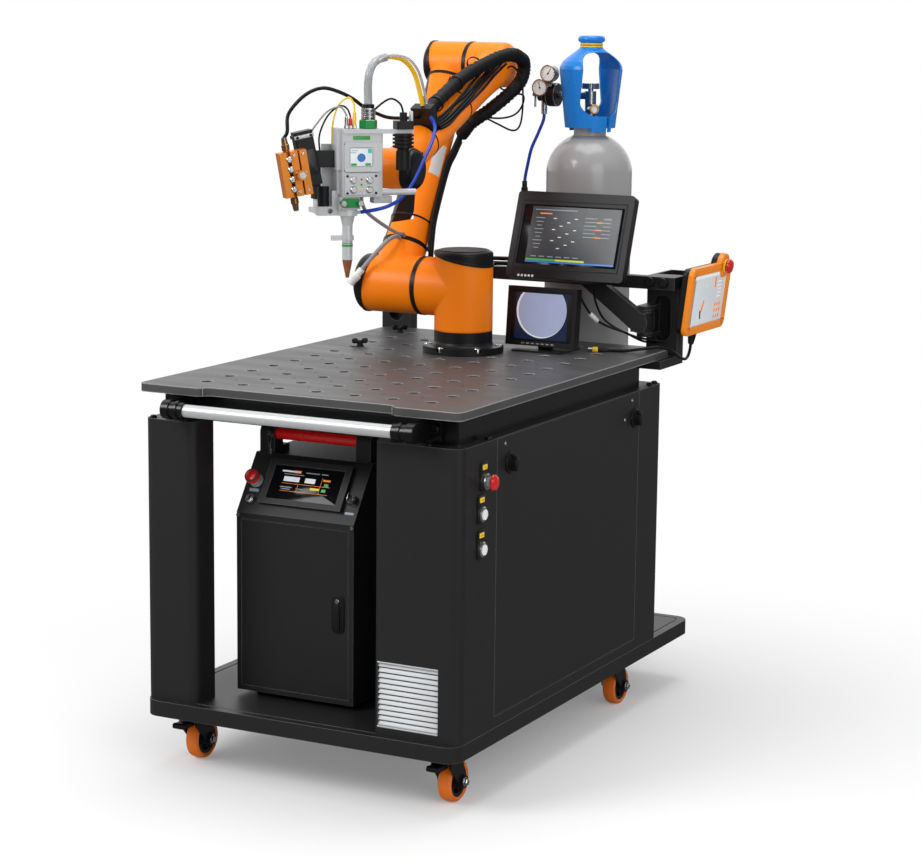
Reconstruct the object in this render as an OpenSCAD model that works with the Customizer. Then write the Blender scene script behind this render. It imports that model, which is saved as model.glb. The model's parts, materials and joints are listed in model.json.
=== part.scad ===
// Robot arm with a laser welding head, on a mobile welding cart
// Millimetres. Origin on the floor under the middle of the table, front towards -Y.

/* [Table] */
// Width of the table top
table_w = 850; // [700:10:1000]
// Depth of the table top, front to rear
table_d = 1200; // [1000:10:1400]
// Height of the working surface above the floor
table_h = 935; // [880:5:1000]
// Thickness of the table plate
table_t = 20; // [15:1:30]
// Spacing of the fixture holes
hole_pitch = 100; // [80:5:120]
// Diameter of a fixture hole
hole_d = 28; // [16:1:32]
// Width of each front ear beside the hand recess
ear_w = 175; // [120:5:220]
// Depth of the hand recess in the front edge
recess_d = 22; // [10:1:40]

/* [Cart] */
// Width of the deck
deck_w = 842; // [700:2:1000]
// Height of the deck's upper face
deck_h = 170; // [140:1:220]
// Thickness of the deck
deck_t = 38; // [25:1:60]
// How far the deck stands out behind the table
deck_tail = 190; // [100:5:300]
// Width of a left column
column_w = 140; // [80:5:200]
// Depth of a left column
column_d = 100; // [60:5:160]
// Width of the right cabinet
cabinet_w = 224; // [160:2:300]
// Height of the frame between the cabinet and the table plate
frame_h = 65; // [40:1:100]
// Corner radius of columns and cabinet
body_r = 24; // [8:1:40]
// Distance of the column fronts behind the table's front edge
body_set = 15; // [0:1:40]
// Length of the removable service panel
panel_l = 813; // [500:5:1000]
// Diameter of the push bar
bar_d = 30; // [25:1:40]
// Length of the bare push bar
bar_l = 550; // [400:10:650]

/* [Casters] */
// Wheel diameter
wheel_d = 100; // [75:1:130]
// Wheel width
wheel_w = 36; // [25:1:50]
// Distance of the axle behind the swivel axis
trail = 33; // [20:1:50]
// Swivel axis, distance inside the deck's side
caster_in = 76; // [55:1:120]
// Front swivel axes, distance behind the deck's front edge
caster_front = 104; // [60:1:200]
// Rear swivel axes, distance behind the origin
caster_rear = 432; // [350:1:700]
// Axle diameter
axle_d = 12; // [8:0.5:16]

/* [Laser unit] */
// Width of the laser unit
unit_w = 321; // [250:1:400]
// Depth of the laser unit
unit_d = 550; // [400:10:700]
// Height of the sloped console
unit_step = 132; // [90:1:180]
// Space kept over the laser unit
unit_gap = 100; // [80:1:200]
// Distance of its front behind the table's front edge
unit_set = 150; // [80:5:250]
// Distance of its middle from the cart's middle line
unit_x = -90; // [-150:1:0]
// Wall thickness of its case
unit_wall = 4; // [2:0.5:8]
// Gap around its door
door_gap = 2; // [1:0.5:4]
// Diameter of the carrying bar
carry_d = 20; // [15:1:30]

/* [Gas bottle] */
// Bottle diameter
bottle_d = 229; // [140:1:260]
// Height of the bottle's straight side
bottle_side = 1200; // [800:10:1300]
// Height of the shoulder dome
bottle_dome = 98; // [60:1:120]
// Bottle axis, distance from the middle line
bottle_x = 125; // [0:5:250]
// Height of the valve guard
guard_h = 242; // [180:2:300]
// Widest diameter of the valve guard
guard_d = 168; // [140:2:220]
// Diameter of the valve guard at its foot
guard_foot_d = 132; // [110:2:160]
// Diameter of the valve guard under its lip
guard_neck_d = 58; // [44:2:80]
// Width of the two openings in the valve guard
guard_window_w = 116; // [70:2:130]

/* [Robot arm] */
// Arm axis, distance from the middle line
arm_x = -15; // [-60:5:60]
// Arm axis, distance behind the origin
arm_y = 264; // [150:2:300]
// Height of the shoulder axis over the table
shoulder_h = 163; // [150:1:200]
// Length between shoulder and elbow axes
upper_l = 640; // [500:5:700]
// Length between elbow and wrist axes
fore_l = 600; // [450:5:650]
// Sideways place of the upper arm's middle plane
upper_x = 201; // [180:1:230]
// Sideways place of the forearm's middle plane
fore_x = 70; // [60:1:90]
// Lean of the upper arm
upper_lean = 29; // [0:1:40]
// Turn of the forearm from upright
fore_turn = 114; // [90:1:125]
// Diameter of the shoulder housings
shoulder_d = 150; // [130:1:165]
// Diameter of the elbow housings
elbow_d = 118; // [100:1:130]
// Diameter of the wrist housings
wrist_d = 96; // [80:1:104]
// Upper arm tube diameter
upper_d = 106; // [90:1:116]
// Forearm tube diameter
fore_d = 90; // [75:1:100]
// Width of the black joint rings
ring_t = 10; // [6:0.5:14]
// Running gap at a joint
joint_gap = 0.5; // [0.3:0.1:1]

/* [Welding head] */
// Width of the head case
head_w = 106; // [80:1:130]
// Depth of the head case
head_d = 70; // [50:1:90]
// Height of the head case
head_h = 168; // [140:1:220]
// Turn of the head's front towards the right
head_turn = 45; // [0:1:60]
// Length of the nozzle above its tip
nozzle_l = 123; // [100:1:160]
// Length of the copper tip
tip_l = 44; // [25:1:60]

/* [Screens] */
// Width of the large monitor
monitor_w = 332; // [280:1:400]
// Height of the large monitor
monitor_h = 232; // [180:1:280]
// Thickness of the large monitor
monitor_t = 38; // [20:1:60]
// Lean of the large monitor
monitor_lean = 20; // [0:1:30]
// Width of the small monitor
small_w = 196; // [150:1:240]
// Height of the small monitor
small_h = 152; // [120:1:200]
// Width of the teach pendant
pendant_w = 270; // [200:1:320]
// Height of the teach pendant
pendant_h = 178; // [150:1:220]
// Lean of the teach pendant on its holder
pendant_lean = 7; // [0:1:15]

/* [Hoses] */
// Diameter of the dress pack sleeve on the forearm
sleeve_d = 38; // [28:1:44]
// Diameter of one cable on the upper arm
cable_d = 11; // [8:0.5:13]
// Diameter of the fibre hose
fibre_d = 20; // [14:0.5:24]
// Diameter of the gas hose
gas_d = 9; // [6:0.5:14]

/* [Hidden] */
$fn = 48;
eps = 1;
table_y0 = -table_d / 2;
table_y1 = table_d / 2;
table_z0 = table_h - table_t;
deck_z0 = deck_h - deck_t;
deck_d = table_d + deck_tail;
body_top = table_z0 - frame_h;
body_h = body_top - deck_h;
body_y0 = table_y0 + body_set;
edge_x = deck_w / 2;
caster_x = edge_x - caster_in;
cabinet_x0 = edge_x - cabinet_w;
cabinet_y1 = table_y1 - 45;
cabinet_d = cabinet_y1 - body_y0;
panel_y0 = body_y0 + 175;
bar_y = table_y0 - 30;
bar_z = table_h - 50;
wheel_r = wheel_d / 2;
fork_t = 5;
fork_gap = 3;
bore_gap = 0.05;
swivel_gap = 0.5;
unit_h = body_h - unit_gap;
unit_front_h = unit_h - unit_step;
unit_y0 = table_y0 + unit_set;
unit_x0 = unit_x - unit_w / 2;
unit_x1 = unit_x + unit_w / 2;
unit_z0 = deck_h + 12;
unit_slope = 90;
door_w = unit_w - 26;
door_t = 18;
door_z0 = deck_h + 25;
door_z1 = deck_h + unit_front_h - 14;
door_x0 = unit_x - door_w / 2;
tray_t = 6;
bottle_y = table_y1 + bottle_d / 2 + 4;
bottle_z1 = deck_h + tray_t + bottle_side;
neck_z = bottle_z1 + bottle_dome;
neck_ring_h = 20;
guard_skirt = 10;
guard_wall = 5;
guard_turn = -36;
reg_x = -109;
guard_z = neck_z + neck_ring_h;
valve_z = guard_z + 84;
caster_y0 = table_y0 + caster_front;
post_w = 88;
post_d = 40;
post_x = table_w / 2 - 29;
post_top = table_h + 188;
stub_x = post_x - post_w / 2 - 42;
shoulder_z = table_h + shoulder_h;
elbow_y = upper_l * sin(upper_lean);
elbow_z = upper_l * cos(upper_lean);
wrist_y = elbow_y - fore_l * sin(fore_turn);
wrist_z = elbow_z + fore_l * cos(fore_turn);
seam_1 = 118;
seam_3 = 134;
cap_lip = 2;
wrist_x = upper_x;
w2_reach = 102;
w2_seam = 52;
flange_reach = 94;
head_x = arm_x - wrist_x + 142;
head_y = arm_y + wrist_y - w2_reach - 85;
head_z = shoulder_z + wrist_z + 26;
head_top = 68;
head_low = head_top - head_h + 16;
nozzle_x = -27;
fibre_x = 24;
monitor_x = 190;
monitor_y = table_y1 - 120;
monitor_z = table_h + 285;
monitor_pivot = 59;
beam_x = table_w / 2 - 65;
beam_y1 = table_y1 - 130;
pin_d = 10;
swing_y = table_y1 - 60;
head_pin_y = monitor_y + monitor_pivot * cos(monitor_lean);
head_pin_z = monitor_z - monitor_pivot * sin(monitor_lean);
hinge_x = door_x0 + 6;
hinge_y = unit_y0 + 4.5;
hinge_d = 4;
arm_post_x = post_x - 24;
arm_post_z = table_h + 75;
small_x = 158;
small_y = table_y1 - 220;
holder_x1 = post_x + 58;
pendant_x = holder_x1 + 36;
pendant_y = table_y1 + 90;
pendant_z = post_top - 62;
pendant_t = 32;

clamp_z0 = fore_l - 180;
clamp_l = 28;
fore_route = [[12, 68, clamp_z0 - 0.3], [14, 68, 300], [20, 66, 200], [50, 66, 120], [75, 58, 60],
    [84, 32, 20]];
elbow_route = [[12, 0, 0], [8, -10, -39], [-10, -44, -74], [-48, -85, -117], [-90, -104, -150],
    [-124, -90, -182]];
fibre_route = [[-82, -119, 1573.1], [-82, -119.5, 1592], [-80, -124, 1622], [-76, -125, 1650],
    [-76, -103, 1674], [-76, -63, 1685], [-76, -8, 1687], [-76, 53, 1676], [-76, 99, 1648],
    [-74.5, 123, 1609], [-73, 140.8, 1566]];
conduit_route = [[-211, -281, 1513.5], [-214, -272, 1552], [-205, -236, 1586], [-190, -203, 1607],
    [-170, -174, 1614], [-145, -146, 1604], [-125, -118, 1588], [-109, -92, 1568], [-100, -48, 1552],
    [-92, 0, 1540], [-84, 70, 1536], [-80, 135.7, 1536]];
blue_route = [[-44, 128, 1539], [-33, 130, 1520], [-25, 115, 1502], [-12, 78, 1475], [-2, 30, 1441],
    [-1, -22, 1393], [-8, -62, 1361], [-25, -99, 1338], [-54, -123, 1325], [-89, -142, 1318]];
signal_route = [[-95, -126, 1354.6], [-95.5, -124.5, 1342], [-101, -95, 1317], [-112, -20, 1288],
    [-130, 80, 1258], [-160, 180, 1238], [-185, 249, 1231], [-193, 270.4, 1222.6]];
pigtail_route = [[-201.3, 262.6, 1217.6], [-206, 244, 1222.5], [-215, 222, 1213], [-230, 202, 1191],
    [-248, 188, 1165], [-268, 178, 1138]];
base_route = [[-146, 366, 1155], [-139, 404, 1149.5], [-122, 480, 1144], [-96, 550, 1140], [-40, 585, 1138.2],
    [60, 585, 1138.2], [190, 585, 1138.2], [330, 585, 1138.2]];
gas_route = [[-11, 718.5, 1525.7], [-13, 718, 1508], [-28, 717, 1472], [-46, 716, 1432], [-57, 716, 1387],
    [-64, 716, 1351], [-65, 716, 1322]];
pendant_route = [[459.5, 645, 944.6], [458, 644, 928], [458, 632, 914], [460, 608, 909], [460, 574, 917],
    [450, 536, 938], [426, 505, 950], [392, 482, 945], [350, 464, 939.2], [310, 450, 939.2]];

orange = "#f57c00";
black = "#2b2b2b";
silver = "#c8c8c8";
blue = "#0a6fc2";
red = "#d01010";
green = "#1f8a3c";
grey = "#9a9a9a";
copper = "#9c5a34";
steel = "#b9bcc0";

// Rectangle with round corners, centred
module rrect(w, d, r) {
    square([w - 2 * r, d], center = true);
    square([w, d - 2 * r], center = true);
    for (x = [-1, 1], y = [-1, 1]) {
        translate([x * (w / 2 - r), y * (d / 2 - r)]) circle(r);
    }
}

// Upright block with round corners, between two corners
module rblock(a, b, r) {
    translate([(a[0] + b[0]) / 2, (a[1] + b[1]) / 2, a[2]])
        linear_extrude(b[2] - a[2]) rrect(b[0] - a[0], b[1] - a[1], r);
}

// Plain block between two corners
module block(a, b) {
    translate(a) cube(b - a);
}

// Cylinder along X from x0 to x1
module xcyl(d, x0, x1) {
    translate([x0, 0, 0]) rotate([0, 90, 0]) cylinder(d = d, h = x1 - x0);
}

// Cylinder along Y from y0 to y1
module ycyl(d, y0, y1) {
    translate([0, y1, 0]) rotate([90, 0, 0]) cylinder(d = d, h = y1 - y0);
}

// Upright cylinder with a rounded top edge
module soft_cyl(d, h, r) {
    rotate_extrude() {
        square([d / 2, h - r]);
        square([d / 2 - r, h]);
        translate([d / 2 - r, h - r]) intersection() {
            circle(r);
            square([r, r]);
        }
    }
}

// Half space to the left of x, leaning about Y
module left_of(x, lean) {
    translate([x, 0, 0]) rotate([0, lean, 0]) translate([-400, -400, -400]) cube([400, 800, 800]);
}

// Half space to the right of x, leaning about Y
module right_of(x, lean) {
    translate([x, 0, 0]) rotate([0, lean, 0]) translate([0, -400, -400]) cube([400, 800, 800]);
}

// Place after point i of a smooth path through points p, t from 0 to 1
function between(p, i, t) =
    let (a = p[max(i - 1, 0)], b = p[i], c = p[i + 1], d = p[min(i + 2, len(p) - 1)])
    b + t / 2 * ((c - a) + t * ((2 * a - 5 * b + 4 * c - d) + t * (3 * b - a - 3 * c + d)));

// Smooth path through points p with n steps between two of them
function smooth(p, n) = concat([for (i = [0 : len(p) - 2], k = [0 : n - 1]) between(p, i, k / n)],
    [p[len(p) - 1]]);

function unit(v) = v / norm(v);

// Direction of path p at point i
function along(p, i) = unit(p[min(i + 1, len(p) - 1)] - p[max(i - 1, 0)]);

// Sideways directions that follow path p without twist
function across(p) = [for (i = 0, v = cross(along(p, 0), [0.3, 0.5, 0.8]); i < len(p); i = i + 1,
    v = v - (v * along(p, min(i, len(p) - 1))) * along(p, min(i, len(p) - 1))) unit(v)];

// Round hose along path p from point i0 to point i1
module hose(p, d, i0, i1) {
    s = 10;
    n = across(p);
    m = i1 - i0;
    points = [for (i = [i0 : i1], k = [0 : s - 1])
        p[i] + d / 2 * (cos(360 * k / s) * n[i] + sin(360 * k / s) * cross(along(p, i), n[i]))];
    sides = [for (i = [0 : m - 1], k = [0 : s - 1])
        [i * s + k, (i + 1) * s + k, (i + 1) * s + (k + 1) % s, i * s + (k + 1) % s]];
    ends = [[for (k = [0 : s - 1]) k], [for (k = [s - 1 : -1 : 0]) m * s + k]];
    polyhedron(points, concat(sides, ends), 8);
}

// Whole hose through points p
module whole_hose(p, d) {
    path = smooth(p, 4);
    hose(path, d, 0, len(path) - 1);
}

// Forearm place p, seen from the elbow at rest
function on_fore(p) = [p[0] - fore_x, p[1] * cos(fore_turn) - p[2] * sin(fore_turn),
    p[1] * sin(fore_turn) + p[2] * cos(fore_turn)];

module deck() {
    color(black) {
        difference() {
            translate([0, table_y0 + deck_d / 2, deck_z0]) linear_extrude(deck_t) rrect(deck_w, deck_d, 40);
            translate([0, table_y0 + deck_d / 2, deck_h - 2]) linear_extrude(3) difference() {
                rrect(deck_w - 44, deck_d - 44, 22);
                rrect(deck_w - 52, deck_d - 52, 18);
            }
        }
        for (x = [-1, 1], y = [caster_y0, caster_rear]) {
            block([x * caster_x - 50, y - 50, deck_z0 - 5], [x * caster_x + 50, y + 50, deck_z0]);
        }
    }
}

module left_columns() {
    color(black) for (y = [body_y0, table_y1 - body_set - column_d]) {
        rblock([-edge_x, y, deck_h], [-edge_x + column_w, y + column_d, body_top], body_r);
    }
}

module cabinet() {
    color(black) difference() {
        rblock([cabinet_x0, body_y0, deck_h], [edge_x, cabinet_y1, body_top], body_r);
        block([edge_x - 3, panel_y0, deck_h + 27], [edge_x + eps, panel_y0 + panel_l, body_top + eps]);
        block([cabinet_x0 + 14, body_y0 - eps, deck_h + 20],
            [edge_x - 54, body_y0 + 16, deck_h + 174]);
    }
}

module service_panel() {
    color(black) block([edge_x - 3, panel_y0 + 2, deck_h + 29],
        [edge_x, panel_y0 + panel_l - 2, body_top - 1]);
}

module vent_grille() {
    color(silver) {
        x0 = cabinet_x0 + 14;
        x1 = edge_x - 54;
        z0 = deck_h + 20;
        difference() {
            block([x0, body_y0 - 2, z0], [x1, body_y0 + 16, z0 + 154]);
            block([x0 + 8, body_y0 - 3, z0 + 8], [x1 - 8, body_y0 + 12, z0 + 146]);
        }
        for (i = [0 : 11]) {
            translate([0, body_y0 + 8, z0 + 13 + i * 11.6]) rotate([35, 0, 0])
                block([x0 + 8, -6, -1], [x1 - 8, 6, 1]);
        }
    }
}

module control_buttons() {
    color(black) {
        translate([edge_x, body_y0 + 110, body_top - 88]) {
            xcyl(42, 0, 10);
            xcyl(26, 10, 22);
            xcyl(40, 22, 36);
        }
        for (z = [body_top - 161, body_top - 242]) {
            translate([edge_x, body_y0 + 98, z]) {
                xcyl(34, 0, 8);
                xcyl(24, 8, 14);
            }
        }
    }
}

module panel_latches() {
    color(black) for (y = [panel_y0 + 67, panel_y0 + panel_l - 30]) {
        translate([edge_x, y, body_top - 66]) {
            xcyl(34, 0, 8);
            block([8, -6, -16], [18, 6, 16]);
        }
    }
}

module table_frame() {
    color(black) {
        for (x = [-1, 1]) {
            block([x * beam_x - 30, table_y0 + 60, body_top], [x * beam_x + 30, beam_y1, table_z0]);
            block([x * stub_x - 20, table_y1 - 100, body_top], [x * stub_x + 20, table_y1 - 50, table_z0]);
        }
        for (y = [table_y0 + 60, beam_y1 - 60]) {
            block([-beam_x + 30, y, body_top], [beam_x - 30, y + 60, table_z0]);
        }
    }
}

// Outline of the table plate with its front ears
module table_outline() {
    ear_r = 18;
    y1 = table_y0 + recess_d;
    translate([0, recess_d / 2]) rrect(table_w, table_d - recess_d, 30);
    for (s = [-1, 1]) {
        translate([s * (table_w - ear_w) / 2, table_y0 + ear_w / 2]) rrect(ear_w, ear_w, ear_r);
        translate([s * (table_w / 2 - ear_w - ear_r / 2), y1 - ear_r / 2 + eps]) difference() {
            square([ear_r + 2 * eps, ear_r], center = true);
            translate([-s * ear_r / 2, -ear_r / 2 - eps]) circle(ear_r);
        }
    }
}

module table_top() {
    n = floor((table_w / 2 - 90) / hole_pitch);
    rows = floor((table_d - 2 * hole_pitch) / hole_pitch);
    color(black) difference() {
        translate([0, 0, table_z0]) linear_extrude(table_t) table_outline();
        for (i = [-n : n], j = [0 : rows]) {
            x = i * hole_pitch;
            y = table_y0 + hole_pitch * (j + 1);
            if (norm([x - arm_x, y - arm_y]) > 130) {
                translate([x, y, table_z0 - eps]) cylinder(d = hole_d, h = table_t + 2 * eps);
            }
        }
    }
}

module push_bar() {
    color(silver) translate([0, bar_y, bar_z]) xcyl(bar_d, -bar_l / 2, bar_l / 2);
}

module push_bar_brackets() {
    color(black) for (s = [-1, 1]) {
        translate([s * (bar_l / 2 + 18), bar_y, bar_z]) {
            xcyl(bar_d + 8, -18, 18);
            xcyl(bar_d + 14, -4, 4);
        }
        x = s * (bar_l / 2 + 46);
        translate([x - 10, 0, 0]) rotate([90, 0, 90]) linear_extrude(20) {
            translate([bar_y, bar_z]) circle(d = bar_d + 14);
            translate([bar_y, bar_z - 22]) square([table_y0 + 60 - bar_y, 44]);
        }
        block([x - 30, table_y0 + 50, bar_z - 30], [x + 30, table_y0 + 60, bar_z + 30]);
    }
}

module rear_frame() {
    color(black) {
        for (s = [-1, 1]) {
            x = s * post_x;
            difference() {
                block([x - post_w / 2, table_y1, table_z0 - 22],
                    [x + post_w / 2, table_y1 + post_d, post_top]);
                translate([x, table_y1 - eps, table_h + 78]) rotate([-90, 0, 0]) linear_extrude(post_d - 5)
                    rrect(46, 120, 22);
            }
            block([x - post_w / 2, table_y1 - 110, table_z0 - 22], [x + post_w / 2, table_y1, table_z0]);
        }
        block([-post_x - post_w / 2, table_y1 - 30, post_top - 33],
            [post_x + post_w / 2, table_y1, post_top]);
        for (x = [post_x - 23, post_x + 14]) {
            translate([x, table_y1 - 30, post_top - 14]) ycyl(24, -8, 0);
        }
        for (z = [arm_post_z - 40, arm_post_z + 30 + swivel_gap]) {
            block([arm_post_x - 20, swing_y, z], [arm_post_x + 20, table_y1, z + 10 - swivel_gap]);
            translate([arm_post_x, swing_y, z]) cylinder(d = 40, h = 10 - swivel_gap);
        }
        translate([arm_post_x, swing_y, arm_post_z - 40]) cylinder(d = pin_d, h = 80);
    }
}

module bottle_tray() {
    color(black) intersection() {
        translate([bottle_x, bottle_y, deck_h]) difference() {
            cylinder(d = bottle_d + 24, h = tray_t + 30);
            translate([0, 0, tray_t]) cylinder(d = bottle_d + 4, h = 40);
        }
        block([bottle_x - 200, table_y1 + 30, deck_h], [bottle_x + 200, bottle_y + 200, deck_h + 60]);
    }
}

// Side outline of the laser unit, y across and z up
module unit_outline(inset) {
    polygon([[inset, inset], [inset, unit_front_h - 12], [unit_slope + inset / 2, unit_h - 12 - inset],
        [unit_d - inset, unit_h - 12 - inset], [unit_d - inset, inset]]);
}

module unit_shell() {
    color(black) {
        difference() {
            translate([unit_x0, unit_y0, unit_z0]) rotate([90, 0, 90]) linear_extrude(unit_w) unit_outline(0);
            translate([unit_x0 + unit_wall, unit_y0, unit_z0]) rotate([90, 0, 90])
                linear_extrude(unit_w - 2 * unit_wall) unit_outline(unit_wall);
            block([door_x0, unit_y0 - eps, door_z0], [door_x0 + door_w, unit_y0 + unit_wall + eps, door_z1]);
        }
        for (x = [unit_x0 + 30, unit_x1 - 70]) {
            block([x, unit_y0 + 40, deck_h], [x + 40, unit_y0 + unit_d - 40, unit_z0]);
        }
        for (z = [door_z0 - 10, door_z1]) {
            block([hinge_x - 8, unit_y0 + unit_wall, z], [hinge_x + 10, unit_y0 + 16, z + 10]);
        }
        for (z = [door_z0 - 5, door_z1 - 12]) {
            translate([hinge_x, hinge_y, z]) cylinder(d = hinge_d, h = 17);
        }
    }
}

module unit_door() {
    color(black) difference() {
        union() {
            block([door_x0 + door_gap, hinge_y - 4, door_z0 + door_gap],
                [door_x0 + door_w - door_gap, hinge_y + 4, door_z1 - door_gap]);
            block([door_x0 + 12, hinge_y + 4, door_z0 + 14],
                [door_x0 + door_w - 12, unit_y0 + door_t, door_z1 - 14]);
        }
        for (z = [door_z0 - 5, door_z1 - 13]) {
            translate([hinge_x, hinge_y, z]) cylinder(d = hinge_d + 2 * bore_gap, h = 18);
        }
    }
}

module unit_console() {
    slope = atan2(unit_slope, unit_h - unit_front_h);
    color(black) translate([unit_x, unit_y0, deck_h + unit_front_h]) rotate([-slope, 0, 0]) {
        difference() {
            block([-105, -12, 26], [120, 0, 142]);
            block([-88, -13, 40], [103, -8, 128]);
        }
        translate([-132, 0, 84]) {
            ycyl(22, -22, 0);
            ycyl(34, -34, -22);
        }
        translate([-132, 0, 34]) ycyl(20, -8, 0);
        translate([140, 0, 60]) ycyl(22, -16, 0);
    }
}

module unit_handle() {
    z0 = deck_h + unit_h;
    y0 = unit_y0 + unit_slope + 4;
    for (x = [unit_x0 + 8, unit_x1 - 48]) {
        color(black) translate([x, y0, z0]) rotate([90, 0, 90]) linear_extrude(40) {
            translate([20, 47]) circle(20);
            square([40, 47]);
            square([70, 14]);
        }
    }
    color(red) translate([unit_x, y0 + 20, z0 + 47]) xcyl(carry_d, -unit_w / 2 + 48, unit_w / 2 - 48);
}

module gas_bottle() {
    r = bottle_d / 2;
    color(grey) translate([bottle_x, bottle_y, deck_h + tray_t]) {
        cylinder(r = r, h = bottle_side);
        translate([0, 0, bottle_side]) rotate_extrude() intersection() {
            square([r, bottle_dome]);
            union() {
                square([38, bottle_dome]);
                translate([0, bottle_dome - r - 4]) difference() {
                    circle(r + 4);
                    square([0.1, 0.1]);
                }
            }
        }
        translate([0, 0, bottle_side + bottle_dome]) cylinder(d = 86, h = neck_ring_h);
    }
}

// The same points from last to first
function reversed(p) = [for (i = [len(p) - 1 : -1 : 0]) p[i]];

// Outside of the valve guard from its foot to its neck, drawn in by an inset
function guard_side(inset) = [
    [guard_foot_d / 2 - inset, -guard_skirt], [guard_d / 2 - inset, guard_h - 88],
    [guard_d / 2 - 1.5 - inset, guard_h - 79], [guard_d / 2 - 8 - inset, guard_h - 68],
    [guard_d / 2 - 20 - inset, guard_h - 57], [guard_neck_d / 2 + 16 - inset, guard_h - 43],
    [guard_neck_d / 2 + 3 - inset, guard_h - 33], [guard_neck_d / 2 - inset, guard_h - 27],
    [guard_neck_d / 2 - inset, guard_h - 9]];

module bottle_guard() {
    window_h = guard_h - 76;
    color(blue) translate([bottle_x, bottle_y, guard_z]) {
        difference() {
            union() {
                rotate_extrude() polygon(concat(guard_side(0), reversed(guard_side(guard_wall))));
                rotate_extrude() translate([guard_neck_d / 2 - 2, guard_h - 9]) circle(9);
            }
            for (a = [guard_turn, guard_turn + 180]) {
                rotate([0, 0, a]) translate([30, 0, 32]) rotate([90, 0, 90]) linear_extrude(80)
                    translate([0, window_h / 2]) rrect(guard_window_w, window_h, 40);
                rotate([0, 0, a + 90]) translate([30, -70, -guard_skirt - 1])
                    cube([80, 140, guard_skirt + 1]);
            }
            rotate([0, 0, guard_turn + 14]) translate([40, -4, -guard_skirt - 1]) cube([60, 8, 44]);
        }
        difference() {
            cylinder(d = guard_foot_d - guard_wall, h = 6);
            translate([0, 0, -eps]) cylinder(d = 60, h = 8);
        }
    }
}

// Valve with its handwheel, and the regulator with two gauges beside it
module gas_regulator() {
    pipe_z = valve_z - guard_z;
    color(steel) translate([bottle_x, bottle_y, guard_z]) {
        cylinder(d = 44, h = 30, $fn = 6);
        translate([0, 0, 30]) cylinder(d = 30, h = 66);
        translate([0, 0, 96]) cylinder(d = 14, h = 6);
        difference() {
            translate([0, 0, 102]) cylinder(d = 48, h = 15);
            for (a = [0 : 60 : 300]) {
                rotate([0, 0, a]) translate([27, 0, 101]) cylinder(d = 14, h = 17);
            }
        }
        rotate([0, 0, guard_turn - 14]) translate([0, 0, 50]) xcyl(24, 0, 38);
        translate([0, 0, pipe_z]) xcyl(20, reg_x, 0);
        translate([reg_x, 0, pipe_z]) {
            xcyl(62, -12, 14);
            xcyl(46, -26, -12);
            xcyl(34, -42, -26);
            xcyl(12, -60, -42);
            translate([-54, 0, -34]) cylinder(d = 6, h = 68);
            translate([-27, 0, -52]) cylinder(d = 16, h = 40);
            for (p = [[-25, 19], [-1, 57]]) {
                block([p[0] - 5, -22, 0], [p[0] + 5, -14, p[1]]);
                translate([p[0], -12, p[1]]) ycyl(45, -22, 0);
            }
        }
    }
}

module small_monitor() {
    color(black) translate([small_x, small_y, table_h]) {
        block([-70, -45, 0], [70, 75, 5]);
        block([-20, 10, 5], [20, 22, 70]);
        translate([0, 0, 12]) rotate([-6, 0, 0]) difference() {
            block([-small_w / 2, -24, 0], [small_w / 2, 4, small_h]);
            block([-small_w / 2 + 12, -25, 12], [small_w / 2 - 12, -22, small_h - 12]);
        }
    }
}

module pendant_holder() {
    y0 = table_y1 + post_d;
    color(black) difference() {
        block([post_x - 44, y0, post_top - 34], [holder_x1, y0 + 118, post_top]);
        block([post_x - 38, y0 + 6, post_top - 40], [holder_x1 - 6, y0 + 112, post_top + eps]);
    }
}

module at_pendant() {
    translate([pendant_x, pendant_y, pendant_z]) rotate([0, pendant_lean, 0]) rotate([90, 0, 90]) children();
}

// Front outline of the teach pendant with the lobe for its stop button
module pendant_outline(inset) {
    w = pendant_w / 2 - inset;
    h = pendant_h / 2 - inset;
    rrect(2 * w, 2 * h, 20 - inset / 2);
    translate([w - 36 + inset, h - 20]) square([36 - inset, 36]);
    translate([w - 36, h + 14]) circle(36 - inset);
    translate([w - 36, h - 40]) square([36, 40]);
}

module pendant() {
    color(orange) {
        at_pendant() {
            difference() {
                translate([0, 0, -14]) linear_extrude(14) pendant_outline(0);
                translate([-6, -8, -4]) linear_extrude(5) rrect(pendant_w - 52, pendant_h - 40, 4);
            }
            translate([0, 0, -pendant_t]) linear_extrude(pendant_t - 14) pendant_outline(5);
            translate([pendant_w / 2 - 36, pendant_h / 2 + 10, 0]) {
                cylinder(d = 34, h = 8);
                cylinder(d = 22, h = 16);
                translate([0, 0, 14]) cylinder(d = 38, h = 16);
            }
            translate([-pendant_w / 6, -pendant_h / 2 - 30, -16]) rotate([-90, 0, 0])
                cylinder(d1 = 12, d2 = 22, h = 31);
        }
        difference() {
            block([holder_x1, pendant_y - 20, post_top - 34], [pendant_x - 4, pendant_y + 20, post_top]);
            at_pendant() translate([-60, -60, 1 - pendant_t]) cube([120, 160, 60]);
        }
    }
}

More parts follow.
